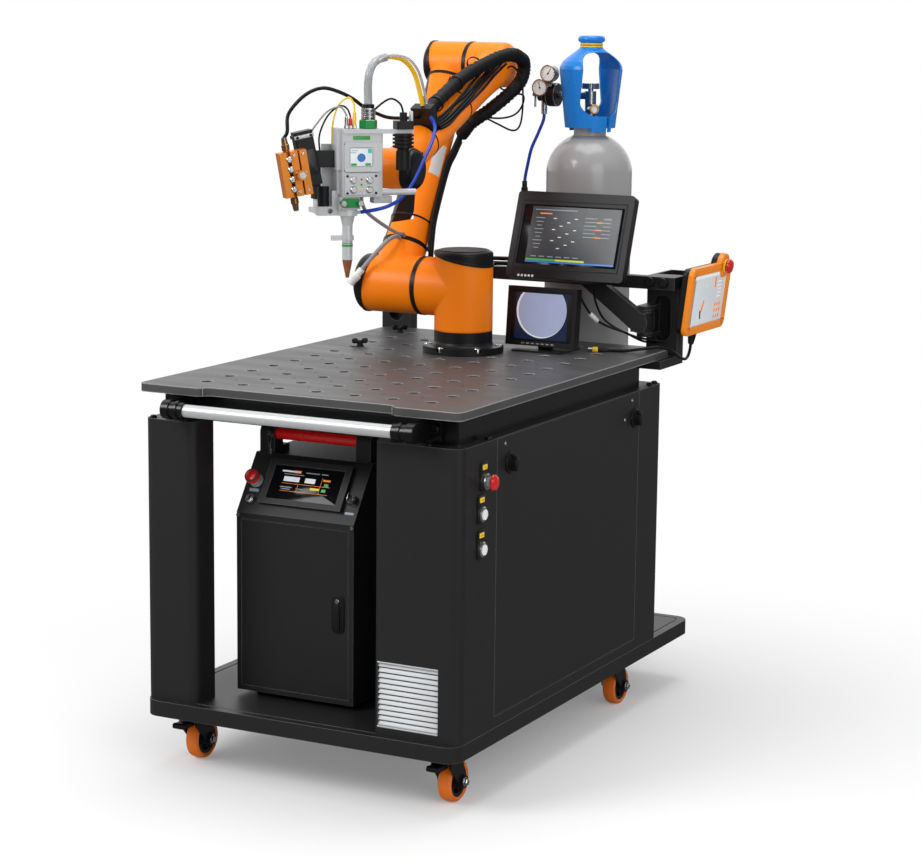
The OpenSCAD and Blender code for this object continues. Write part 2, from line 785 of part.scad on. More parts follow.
module monitor_arm() {
    rise = head_pin_z - 60 - arm_post_z;
    run = arm_post_x - monitor_x;
    reach = norm([rise, run]);
    y1 = swing_y - 20 - swivel_gap;
    color(black) difference() {
        union() {
            translate([arm_post_x, swing_y, arm_post_z - 30]) cylinder(d = 40, h = 60);
            block([arm_post_x - 20, y1 - 26, arm_post_z - 24], [arm_post_x + 20, swing_y, arm_post_z + 24]);
            translate([arm_post_x, y1, arm_post_z]) rotate([90, atan2(rise, run), 0]) linear_extrude(26) {
                circle(26);
                translate([-reach, 0]) circle(20);
                polygon([[0, 26], [0, -26], [-reach, -20], [-reach, 20]]);
            }
            block([monitor_x - 15, y1 - 26, head_pin_z - 76],
                [monitor_x + 15, head_pin_y + 13, head_pin_z - 44]);
            block([monitor_x - 15, head_pin_y - 13, head_pin_z - 60],
                [monitor_x + 15, head_pin_y + 13, head_pin_z]);
            translate([monitor_x, head_pin_y, head_pin_z]) xcyl(30, -18, 18);
        }
        translate([arm_post_x, swing_y, arm_post_z - 40]) cylinder(d = pin_d + 2 * bore_gap, h = 80);
        translate([monitor_x, head_pin_y, head_pin_z]) xcyl(pin_d + 2 * bore_gap, -30, 30);
    }
}

module monitor() {
    color(black) translate([monitor_x, monitor_y, monitor_z]) rotate([-monitor_lean, 0, 0]) {
        difference() {
            translate([0, monitor_t / 2 - 12, 0]) rotate([90, 0, 0]) linear_extrude(monitor_t - 12)
                rrect(monitor_w, monitor_h, 10);
            translate([0, -monitor_t / 2 + 3, 0]) rotate([90, 0, 0]) linear_extrude(8)
                rrect(monitor_w - 48, monitor_h - 72, 3);
        }
        translate([0, monitor_t / 2, 0]) rotate([90, 0, 0]) linear_extrude(12)
            rrect(monitor_w - 40, monitor_h - 40, 14);
        for (x = [-1, 1]) {
            block([x * 22 - 3, monitor_t / 2, -14], [x * 22 + 3, monitor_pivot + 10, 14]);
        }
        translate([0, monitor_pivot, 0]) xcyl(pin_d, -25, 25);
    }
}

// Caster fork about its swivel axis, with its axle and brake pedal
module fork(x, y) {
    top = deck_z0 - 5 - swivel_gap;
    color(black) translate([x, y, 0]) {
        translate([0, 0, top - 10]) cylinder(d = 76, h = 10);
        translate([0, 0, top - 20]) cylinder(d = 62, h = 10);
        for (s = [-1, 1]) {
            x0 = s > 0 ? wheel_w / 2 + fork_gap : -wheel_w / 2 - fork_gap - fork_t;
            translate([x0, 0, 0]) rotate([90, 0, 90]) linear_extrude(fork_t) {
                polygon([[-28, top - 20], [-28, top - 32], [trail - 13, wheel_r - 9],
                    [trail + 15, wheel_r + 5], [32, top - 20]]);
                translate([trail, wheel_r]) circle(16);
            }
        }
        translate([0, trail, wheel_r])
            xcyl(axle_d, -wheel_w / 2 - fork_gap - fork_t - 6, wheel_w / 2 + fork_gap + fork_t + 6);
        block([-16, -64, top - 30], [16, -24, top - 20]);
        translate([0, -64, top - 25]) xcyl(14, -16, 16);
    }
}

module wheel(x, y) {
    r = wheel_r;
    w = wheel_w / 2;
    color(orange) translate([x, y + trail, r]) rotate([0, 90, 0]) rotate_extrude() difference() {
        translate([axle_d / 2 + bore_gap, -w]) square([r - axle_d / 2 - bore_gap, 2 * w]);
        for (s = [-1, 1]) {
            translate([r * 0.55, s * w]) square([r * 0.38, 14], center = true);
            translate([r, s * w]) difference() {
                square(16, center = true);
                translate([-8, -s * 8]) circle(8);
            }
        }
    }
}

module caster_fork_fl() { fork(-caster_x, caster_y0); }
module caster_fork_fr() { fork(caster_x, caster_y0); }
module caster_fork_rl() { fork(-caster_x, caster_rear); }
module caster_fork_rr() { fork(caster_x, caster_rear); }
module caster_wheel_fl() { wheel(-caster_x, caster_y0); }
module caster_wheel_fr() { wheel(caster_x, caster_y0); }
module caster_wheel_rl() { wheel(-caster_x, caster_rear); }
module caster_wheel_rr() { wheel(caster_x, caster_rear); }

// Places its children at the arm's shoulder centre
module at_shoulder() {
    translate([arm_x, arm_y, shoulder_z]) children();
}

module base_flange() {
    color(black) translate([arm_x, arm_y, table_h]) {
        difference() {
            cylinder(d = shoulder_d + 58, h = 18);
            for (a = [0 : 60 : 300]) {
                rotate([0, 0, a + 20]) translate([shoulder_d / 2 + 17, 0, 8]) cylinder(d = 26, h = 20);
            }
        }
        cylinder(d = shoulder_d, h = 56);
        translate([0, 0, 18]) flare(shoulder_d + 16, shoulder_d, 12);
    }
}

// Round tube widening towards its foot in an arc
module flare(d0, d1, h) {
    c = (d0 - d1) / 2;
    r = (c * c + h * h) / (2 * c);
    rotate_extrude() difference() {
        square([d0 / 2, h]);
        translate([d1 / 2 + r, h]) circle(r, $fn = 180);
    }
}

// Whole shoulder form with its top cap
module shoulder_form() {
    translate([0, 0, -shoulder_h + 56 + joint_gap])
        soft_cyl(shoulder_d, shoulder_h + 98 - 56 - joint_gap, 10);
    xcyl(shoulder_d, -seam_1 + ring_t + 2, 0);
}

module above_shoulder() {
    translate([0, 0, 74]) rotate([0, 12, 0]) translate([-200, -200, 0]) cube([400, 400, 200]);
}

module shoulder() {
    color(orange) at_shoulder() difference() {
        shoulder_form();
        above_shoulder();
    }
}

module shoulder_trim() {
    color(black) at_shoulder() {
        intersection() {
            shoulder_form();
            above_shoulder();
        }
        intersection() {
            translate([0, 0, 40]) cylinder(d = shoulder_d + 2 * cap_lip, h = 80);
            translate([0, 0, 74]) rotate([0, 12, 0]) translate([-200, -200, 0]) cube([400, 400, 6]);
        }
        xcyl(shoulder_d + 2, -seam_1 + joint_gap, -seam_1 + ring_t + 2);
    }
}

// Whole upper arm form with its two end caps
module upper_arm_form() {
    translate([-290, 0, 0]) rotate([0, 90, 0]) translate([0, 0, 290 - seam_1]) mirror([0, 0, 1])
        soft_cyl(shoulder_d, 290 - seam_1, 16);
    rotate([-upper_lean, 0, 0]) translate([-upper_x, 0, 0]) {
        flare(shoulder_d - 4, upper_d, 200);
        cylinder(d = upper_d, h = upper_l);
        translate([0, 0, upper_l]) mirror([0, 0, 1]) flare(elbow_d - 2, upper_d, 110);
    }
    translate([-264, elbow_y, elbow_z]) rotate([0, 90, 0]) translate([0, 0, 264 - seam_3 - ring_t])
        mirror([0, 0, 1]) soft_cyl(elbow_d, 264 - seam_3 - ring_t, 14);
}

module upper_arm_ends() {
    left_of(-258, 10);
    translate([0, elbow_y, elbow_z]) {
        left_of(-240, -10);
        xcyl(elbow_d + 40, -seam_3 - ring_t, 0);
    }
}

module upper_arm() {
    color(orange) at_shoulder() difference() {
        upper_arm_form();
        upper_arm_ends();
    }
}

module upper_arm_trim() {
    color(black) at_shoulder() {
        intersection() {
            upper_arm_form();
            left_of(-258, 10);
        }
        intersection() {
            xcyl(shoulder_d + 2 * cap_lip, -290, -230);
            left_of(-258, 10);
            right_of(-264, 10);
        }
        translate([0, elbow_y, elbow_z]) {
            intersection() {
                translate([0, -elbow_y, -elbow_z]) upper_arm_form();
                left_of(-240, -10);
                translate([-400, -200, -200]) cube([400, 400, 400]);
            }
            intersection() {
                xcyl(elbow_d + 2 * cap_lip, -270, -220);
                left_of(-240, -10);
                right_of(-246, -10);
            }
            xcyl(elbow_d + 2, -seam_3 - ring_t, -seam_3);
        }
    }
}

// Whole forearm form with the wrist cap
module forearm_form() {
    translate([0, elbow_y, elbow_z]) {
        translate([-seam_3 + joint_gap, 0, 0]) rotate([0, 90, 0]) soft_cyl(elbow_d, seam_3 - 24, 24);
        rotate([fore_turn, 0, 0]) translate([-fore_x, 0, 0]) {
            flare(elbow_d - 6, fore_d, 150);
            cylinder(d = fore_d, h = fore_l);
            translate([0, 0, fore_l]) mirror([0, 0, 1]) flare(wrist_d + 2, fore_d, 90);
        }
    }
    translate([-seam_3 + ring_t - 2, wrist_y, wrist_z]) rotate([0, 90, 0])
        soft_cyl(wrist_d + 4, seam_3 - ring_t - 4, 14);
}

module forearm() {
    color(orange) at_shoulder() difference() {
        forearm_form();
        translate([0, wrist_y, wrist_z]) right_of(-32, 8);
    }
}

module forearm_trim() {
    color(black) at_shoulder() translate([0, wrist_y, wrist_z]) {
        intersection() {
            translate([0, -wrist_y, -wrist_z]) forearm_form();
            right_of(-32, 8);
            translate([-60, -60, -60]) cube(120);
        }
        intersection() {
            xcyl(wrist_d + 4 + 2 * cap_lip, -50, -10);
            right_of(-32, 8);
            left_of(-27, 8);
        }
        xcyl(wrist_d + 6, -seam_3 + joint_gap, -seam_3 + ring_t - 2);
    }
    color(black) at_shoulder() translate([0, elbow_y, elbow_z]) rotate([fore_turn, 0, 0])
        translate([-fore_x, 0, 0]) difference() {
            block([-16, 20, clamp_z0], [40, 90, clamp_z0 + clamp_l]);
            translate([0, 0, clamp_z0 - eps]) cylinder(d = fore_d, h = clamp_l + 2 * eps);
        }
}

// Whole first wrist form with its cap
module wrist_1_form() {
    translate([-seam_3, 0, 0]) rotate([0, -90, 0]) soft_cyl(wrist_d, 250 - seam_3, 12);
    translate([-wrist_x, 0, 0]) ycyl(wrist_d - 4, -w2_seam, 0);
}

module wrist_1() {
    color(orange) at_shoulder() translate([0, wrist_y, wrist_z]) difference() {
        wrist_1_form();
        left_of(-wrist_x - 28, 8);
    }
}

module wrist_1_cap() {
    color(black) at_shoulder() translate([0, wrist_y, wrist_z]) intersection() {
        wrist_1_form();
        left_of(-wrist_x - 28, 8);
    }
}

// Whole second wrist form with its cap, about its own centre
module wrist_2_form() {
    translate([0, w2_reach - w2_seam - joint_gap, 0]) rotate([90, 0, 0]) soft_cyl(wrist_d, w2_reach - 6, 12);
    translate([0, 0, -72]) cylinder(d = wrist_d - 6, h = 72);
}

module at_wrist_2() {
    at_shoulder() translate([-wrist_x, wrist_y - w2_reach, wrist_z]) children();
}

module wrist_2() {
    color(orange) at_wrist_2() difference() {
        wrist_2_form();
        translate([-100, -150, -100]) cube([200, 120, 200]);
    }
}

module wrist_2_cap() {
    color(black) at_wrist_2() intersection() {
        wrist_2_form();
        translate([-100, -150, -100]) cube([200, 120, 200]);
    }
}

// Places its children on the head's front, x to the right, y into the head
module at_head() {
    translate([head_x, head_y, head_z]) rotate([0, 0, head_turn]) children();
}

module tool_flange() {
    color(steel) {
        at_wrist_2() translate([0, 0, -flange_reach]) cylinder(d = 78, h = flange_reach - 72 - joint_gap);
        fz = shoulder_z + wrist_z - flange_reach - head_z;
        at_head() {
            block([-86, head_d + 6, fz - 12], [0, head_d + 115, fz]);
            block([-80, head_d + 6, fz], [-20, head_d + 18, 40]);
        }
    }
}

module head_body() {
    low = head_low - 30;
    color(silver) at_head() {
        rblock([-head_w / 2 + 6, 4, head_low], [head_w / 2, head_d + 6, head_top], 5);
        rblock([-head_w / 2 - 5, 22, -20], [-head_w / 2 + 8, head_d + 6, head_top + 12], 3);
        rblock([-head_w / 2 - 2, 30, head_low + 6], [-head_w / 2 + 8, head_d + 6, -20], 3);
        block([-46, 0, head_top], [128, 18, head_top + 10]);
        block([-46, 18, head_top], [head_w / 2, head_d, head_top + 10]);
        rblock([nozzle_x - 26, 8, low], [nozzle_x + 26, head_d - 4, head_low], 5);
        translate([0, 12, -73]) xcyl(15, head_w / 2 - 8, head_w / 2 + 84);
        block([36, 26, head_low - 17], [82, 60, head_low]);
        difference() {
            block([-100, 34, low - 16], [nozzle_x - 24.5, 62, low + 6]);
            translate([-70, 0, low - 5]) ycyl(12, 30, 66);
        }
        block([-66, 34, low + 6], [-head_w / 2 + 6, 62, head_low + 14]);
    }
}

module head_panel() {
    color(silver) at_head() {
        difference() {
            translate([2, 4, 12]) rotate([90, 0, 0]) linear_extrude(8) rrect(93, 70, 5);
            translate([-3, -1, 12]) rotate([90, 0, 0]) linear_extrude(8) rrect(58, 46, 3);
        }
        translate([-2, 4, -52]) rotate([90, 0, 0]) linear_extrude(6) rrect(83, 53, 4);
        for (x = [-22, 18], z = [-43, -66]) {
            translate([x, 0, z]) ycyl(12, -9, 0);
        }
    }
}

module fibre_collimator() {
    color(steel) at_head() translate([fibre_x, head_d / 2, head_top + 10]) {
        cylinder(d = 42, h = 22, $fn = 6);
        translate([0, 0, 22]) cylinder(d = 32, h = 12);
        translate([0, 0, 34]) cylinder(d = 29, h = 4);
        translate([0, 0, 38]) cylinder(d = 33, h = 12);
        translate([0, 0, 50]) cylinder(d = 26, h = 5);
    }
}

module lens_drawer() {
    color(green) at_head() {
        block([nozzle_x - 20, 0, head_low - 25], [nozzle_x + 20, 8, head_low - 3]);
        for (x = [-1, 1]) {
            translate([nozzle_x + x * 21, 0, head_low - 14]) ycyl(13, -5, 8);
        }
    }
}

module nozzle() {
    color(steel) at_head() translate([nozzle_x, head_d / 2, head_low - 30]) {
        translate([0, 0, -16]) cylinder(d = 48, h = 16);
        translate([0, 0, -40]) cylinder(d1 = 25, d2 = 36, h = 24);
        translate([0, 0, -nozzle_l]) cylinder(d = 25, h = nozzle_l - 40);
        translate([0, 0, -76]) cylinder(d = 31, h = 12);
        block([-40, -5, -76], [0, 5, -64]);
        translate([0, 0, -8]) rotate([0, 0, -20]) xcyl(8, 20, 31);
    }
}

module nozzle_tip() {
    color(copper) at_head() translate([nozzle_x, head_d / 2, head_low - 30 - nozzle_l - tip_l]) {
        translate([0, 0, tip_l - 12]) cylinder(d1 = 21, d2 = 25, h = 12);
        cylinder(d1 = 8, d2 = 21, h = tip_l - 12);
    }
}

module at_clamp() {
    at_head() translate([-164, 15, -26]) rotate([0, -10, 0]) children();
}

module wire_clamp() {
    color(orange) at_clamp() {
        for (x = [-24, 3, 25]) {
            block([x - 9, -19, -54], [x + 9, 15, 54]);
        }
        block([-33, 15, -54], [34, 19, 54]);
        for (z = [-36, -12, 12, 36]) {
            translate([-10.5, 0, z]) ycyl(15, -12, 16);
        }
        translate([10, 0, -4]) ycyl(16, -34, 16);
        translate([10, 0, -4]) ycyl(24, -46, -34);
        translate([-10.5, 0, -86]) cylinder(d = 12, h = 50);
        translate([-10.5, 0, 36]) cylinder(d = 12, h = 50);
        translate([-10.5, 0, 58]) cylinder(d = 17, h = 12, $fn = 6);
        translate([-10.5, 0, -72]) cylinder(d = 17, h = 12, $fn = 6);
    }
}

module feeder_motor() {
    low = head_low - 30;
    color(black) at_head() {
        translate([-124, 34, 8]) rotate([0, -12, 0]) {
            rblock([-23, 0, -66], [23, 38, 66], 4);
            block([-25, 4, 50], [25, 40, 58]);
        }
        block([-112, 40, -14], [-head_w / 2 - 5, 64, 26]);
        translate([-84, 48, low + 6]) cylinder(d = 28, h = 48);
    }
}

module vision_camera() {
    color(black) at_head() translate([105, 10, 0]) {
        rblock([-21, -21, head_top + 10], [21, 21, head_top + 30], 4);
        translate([0, 0, head_top + 30]) cylinder(d = 18, h = 20);
        translate([0, 0, head_top - 36]) cylinder(d = 42, h = 36);
        for (i = [0 : 3]) {
            translate([0, 0, head_top - 34 + i * 9]) cylinder(d = 52, h = 5);
        }
        translate([0, 0, head_top - 42]) cylinder(d = 30, h = 8);
        translate([0, 0, head_top - 88]) cylinder(d = 35, h = 46);
    }
}

module forearm_sleeve() {
    path = smooth(concat([for (p = fore_route) on_fore(p)], elbow_route), 5);
    color(black) at_shoulder() translate([0, elbow_y, elbow_z]) hose(path, sleeve_d, 0, 5 * len(fore_route));
}

module arm_cables() {
    path = smooth(concat([for (p = fore_route) on_fore(p)], elbow_route), 5);
    r = upper_d / 2 + cable_d / 2 + 0.85;
    color(black) {
        at_shoulder() {
            translate([0, elbow_y, elbow_z]) hose(path, sleeve_d, 5 * len(fore_route), len(path) - 1);
            rotate([-upper_lean, 0, 0]) translate([-upper_x, 0, 0]) for (a = [0, 15, 30, 45]) {
                c = cos(a);
                s = sin(a);
                whole_hose([[r * c + 14, r * s + 4, 428], [r * c + 8, r * s + 2, 390], [r * c, r * s, 340],
                    [r * c, r * s, 210], [(r + 6) * c, (r + 6) * s, 150],
                    [(r + 15) * c, (r + 15) * s, 96]], cable_d);
            }
        }
        whole_hose(pigtail_route, cable_d);
    }
}

module base_cables() {
    color(black) whole_hose(base_route, 30);
}

module head_hoses() {
    color(black) {
        whole_hose(fibre_route, fibre_d);
        whole_hose(conduit_route, gas_d);
        whole_hose(blue_route, gas_d);
        whole_hose(signal_route, gas_d);
    }
}

module gas_hose() {
    color(blue) whole_hose(gas_route, gas_d);
}

module pendant_cable() {
    color(black) whole_hose(pendant_route, gas_d - 1);
}

deck();
left_columns();
cabinet();
service_panel();
vent_grille();
control_buttons();
panel_latches();
table_frame();
table_top();
push_bar();
push_bar_brackets();
rear_frame();
bottle_tray();
unit_shell();
unit_console();
unit_handle();
unit_door();
gas_bottle();
bottle_guard();
gas_regulator();
small_monitor();
pendant_holder();
pendant();
monitor_arm();
monitor();
caster_fork_fl();
caster_fork_fr();
caster_fork_rl();
caster_fork_rr();
caster_wheel_fl();
caster_wheel_fr();
caster_wheel_rl();
caster_wheel_rr();
base_flange();
shoulder();
shoulder_trim();
upper_arm();
upper_arm_trim();
forearm();
forearm_trim();
wrist_1();
wrist_1_cap();
wrist_2();
wrist_2_cap();
tool_flange();
head_body();
head_panel();
fibre_collimator();
lens_drawer();
nozzle();
nozzle_tip();
wire_clamp();
feeder_motor();
vision_camera();
forearm_sleeve();
arm_cables();
base_cables();
head_hoses();
gas_hose();
pendant_cable();
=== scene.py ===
"""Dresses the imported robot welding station: camera, stage, hoses, finishes and fine detail."""

import json
import math

import bmesh
import bpy
from mathutils import Matrix, Vector


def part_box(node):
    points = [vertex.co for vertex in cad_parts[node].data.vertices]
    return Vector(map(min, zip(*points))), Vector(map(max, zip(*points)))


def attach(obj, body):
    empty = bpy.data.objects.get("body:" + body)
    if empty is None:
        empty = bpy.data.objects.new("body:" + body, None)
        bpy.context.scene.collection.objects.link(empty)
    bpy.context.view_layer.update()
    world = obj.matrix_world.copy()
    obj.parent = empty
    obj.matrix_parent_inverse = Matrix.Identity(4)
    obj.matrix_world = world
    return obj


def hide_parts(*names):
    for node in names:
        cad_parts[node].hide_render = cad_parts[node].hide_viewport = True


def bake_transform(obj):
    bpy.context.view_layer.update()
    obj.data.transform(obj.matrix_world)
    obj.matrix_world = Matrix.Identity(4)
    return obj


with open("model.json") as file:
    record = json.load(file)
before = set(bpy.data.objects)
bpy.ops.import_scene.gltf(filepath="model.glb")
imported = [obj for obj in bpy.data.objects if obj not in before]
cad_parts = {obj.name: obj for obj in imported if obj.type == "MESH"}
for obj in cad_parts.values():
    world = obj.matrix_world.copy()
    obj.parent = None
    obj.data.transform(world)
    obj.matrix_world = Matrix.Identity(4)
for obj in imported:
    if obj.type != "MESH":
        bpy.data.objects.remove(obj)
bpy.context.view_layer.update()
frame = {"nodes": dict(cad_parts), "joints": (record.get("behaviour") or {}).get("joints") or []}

bl_info = {
    "name": "Robot Welding Station",
    "version": (1, 0, 0),
    "blender": (4, 5, 0),
    "location": "View3D > Sidebar > Station",
    "description": "Finishes a robot arm with a laser welding head on a mobile cart",
    "category": "Object",
}

# Shared values

MM = 0.001
IMAGE_W = 921
SENSOR_MM = 36.0
FOCAL_PX = 2472.0
CAMERA_AT = (2.86535, -5.34057, 1.82584)
CAMERA_YAW = 27.24
CAMERA_PITCH = 9.87
CAMERA_ROLL = 0.62
FRONT = (0, -1, 0)
RIGHT = (1, 0, 0)
UP = (0, 0, 1)
WHITE = (1, 1, 1, 1)
JOINTS = {j["name"]: Vector(j["pos_m"]) for j in frame["joints"]}


def linear(code):
    """Turns an sRGB hex colour into linear red, green and blue."""
    parts = [int(code[i : i + 2], 16) / 255 for i in (0, 2, 4)]
    return [c / 12.92 if c <= 0.04045 else ((c + 0.055) / 1.055) ** 2.4 for c in parts]


def axes_at(origin, along, side=RIGHT):
    """A frame with Z along a direction and X to one side, for work in millimetres."""
    z = Vector(along).normalized()
    x = Vector(side).normalized()
    turn = Matrix((x, z.cross(x), z)).transposed().to_4x4()
    return Matrix.Translation(origin) @ turn @ Matrix.Scale(MM, 4)


def facing(at, normal, up):
    """A turn that sets Z along a normal and Y upward, then a move to a point."""
    z, y = Vector(normal).normalized(), Vector(up).normalized()
    turn = Matrix((y.cross(z), y, z)).transposed().to_4x4()
    return Matrix.Translation(at) @ turn


def tilted(at, degrees, axis):
    """A turn about one axis, then a move to a point."""
    return Matrix.Translation(at) @ Matrix.Rotation(math.radians(degrees), 4, axis)


WORLD = Matrix.Scale(MM, 4)
SHOULDER = JOINTS["shoulder_tilt"]
ELBOW = JOINTS["elbow_tilt"]
WRIST = JOINTS["wrist_tilt"]
UPPER = axes_at(SHOULDER + Vector((-0.201, 0, 0)), ELBOW - SHOULDER)
FORE = axes_at(ELBOW + Vector((-0.070, 0, 0)), WRIST - ELBOW)
ELBOW_FRAME = Matrix.Translation(ELBOW) @ WORLD
HEAD = tilted(JOINTS["tool_turn"] + Vector((0.142, -0.085, 0.026)), 45, "Z") @ WORLD
STRAIGHTENER = tilted((-164, 15, -26), -10, "Y")


# Settings

def colour_setting(name, description, code):
    """A colour setting with a hex colour as its default."""
    return bpy.props.FloatVectorProperty(name=name, description=description, subtype="COLOR", size=3,
                                         default=linear(code), min=0, max=1)


def length_setting(name, description, default):
    """A length setting in metres."""
    return bpy.props.FloatProperty(name=name, description=description, default=default, unit="LENGTH")


class StationColours(bpy.types.PropertyGroup):
    """Colours of the main finishes."""

    arm: colour_setting("Arm paint", "Orange of the arm's castings", "FF8200")
    cart: colour_setting("Cart coat", "Black of the cart's sheet metal", "1E1E1F")
    table: colour_setting("Table plate", "Black of the table plate", "464647")
    head: colour_setting("Welding head", "Pale grey of the head's case", "C2C4C6")
    bottle: colour_setting("Gas bottle", "Grey of the bottle's enamel", "9C9C9C")
    guard: colour_setting("Valve guard", "Blue of the valve guard", "0A78CE")


class StationSizes(bpy.types.PropertyGroup):
    """Diameters of the hoses and cables that are added to the frame."""

    sleeve: length_setting("Sleeve", "Diameter of the dress pack sleeve", 0.038)
    fibre: length_setting("Fibre hose", "Diameter of the clear fibre hose", 0.020)
    hose: length_setting("Hose", "Diameter of the gas hoses and leads", 0.009)
    cable: length_setting("Cable", "Diameter of a cable on the upper arm", 0.011)


# Materials

MATERIALS = {}


def add(tree, kind, sockets=None, links=None, **settings):
    """Adds a node, sets its fields and sockets, and links outputs into it."""
    node = tree.nodes.new(kind)
    for name, value in settings.items():
        setattr(node, name, value)
    for name, value in (sockets or {}).items():
        node.inputs[name].default_value = value
    for name, source in (links or {}).items():
        tree.links.new(source, node.inputs[name])
    return node


def mix(tree, share, first, second):
    """Mixes two shaders by a share."""
    return add(tree, "ShaderNodeMixShader", None, {0: share, 1: first.outputs[0], 2: second.outputs[0]})


def empty_tree(owner):
    """The node tree of a material or world, with nothing in it."""
    owner.use_nodes = True
    owner.node_tree.nodes.clear()
    return owner.node_tree


def surface(name, colour, rough, metallic=0.0, mottle=0.06, mottle_mm=120.0, grain_mm=0.8,
            grain_depth_mm=0.02, rough_spread=0.06, soft_edge_mm=0.8, coat=0.0, specular=0.5,
            stretch=(1, 1, 1), sockets=None, edge_highlight=None):
    """A coated, moulded or metal finish with slow colour drift, fine grain, soft edges and, if an edge colour
    is given, a painted highlight along the edges.
    """
    material = bpy.data.materials.new(name)
    tree = empty_tree(material)
    where = add(tree, "ShaderNodeTexCoord")
    mapped = add(tree, "ShaderNodeMapping", {"Scale": stretch}, {"Vector": where.outputs["Object"]})
    spot = {"Vector": mapped.outputs["Vector"]}
    drift = add(tree, "ShaderNodeTexNoise", {"Scale": 1000 / mottle_mm, "Detail": 3.0}, spot)
    grain = add(tree, "ShaderNodeTexNoise", {"Scale": 1000 / grain_mm, "Detail": 2.0}, spot)
    dark = [c * (1 - mottle) for c in colour] + [1]
    pale = [min(1.0, c * (1 + mottle)) for c in colour] + [1]
    tint = add(tree, "ShaderNodeMix", {6: dark, 7: pale}, {0: drift.outputs["Fac"]}, data_type="RGBA")
    polish = add(tree, "ShaderNodeMapRange",
                 {"To Min": max(0.02, rough - rough_spread), "To Max": min(1.0, rough + rough_spread)},
                 {"Value": drift.outputs["Fac"]})
    edge = add(tree, "ShaderNodeBevel", {"Radius": soft_edge_mm * MM}, samples=4)
    bump = add(tree, "ShaderNodeBump", {"Strength": 1.0, "Distance": grain_depth_mm * MM},
               {"Height": grain.outputs["Fac"], "Normal": edge.outputs["Normal"]})
    # Painted highlight: the edges, where the bevel's soft normal bends away from the true normal, take a
    # paler colour
    if edge_highlight:
        flat = add(tree, "ShaderNodeNewGeometry")
        bend = add(tree, "ShaderNodeVectorMath", None,
                   {0: edge.outputs["Normal"], 1: flat.outputs["True Normal"]}, operation="DOT_PRODUCT")
        highlight_share = add(tree, "ShaderNodeMapRange", {"From Min": 0.99, "From Max": 0.86},
                   {"Value": bend.outputs["Value"]})
        tint = add(tree, "ShaderNodeMix", {7: (*edge_highlight, 1)}, {0: highlight_share.outputs["Result"], 6: tint.outputs[2]},
                   data_type="RGBA")
    values = {"Metallic": metallic, "Coat Weight": coat, "Specular IOR Level": specular, **(sockets or {})}
    shader = add(tree, "ShaderNodeBsdfPrincipled", values,
                 {"Base Color": tint.outputs[2], "Roughness": polish.outputs["Result"],
                  "Normal": bump.outputs["Normal"]})
    add(tree, "ShaderNodeOutputMaterial", None, {"Surface": shader.outputs["BSDF"]})
    MATERIALS[name] = material


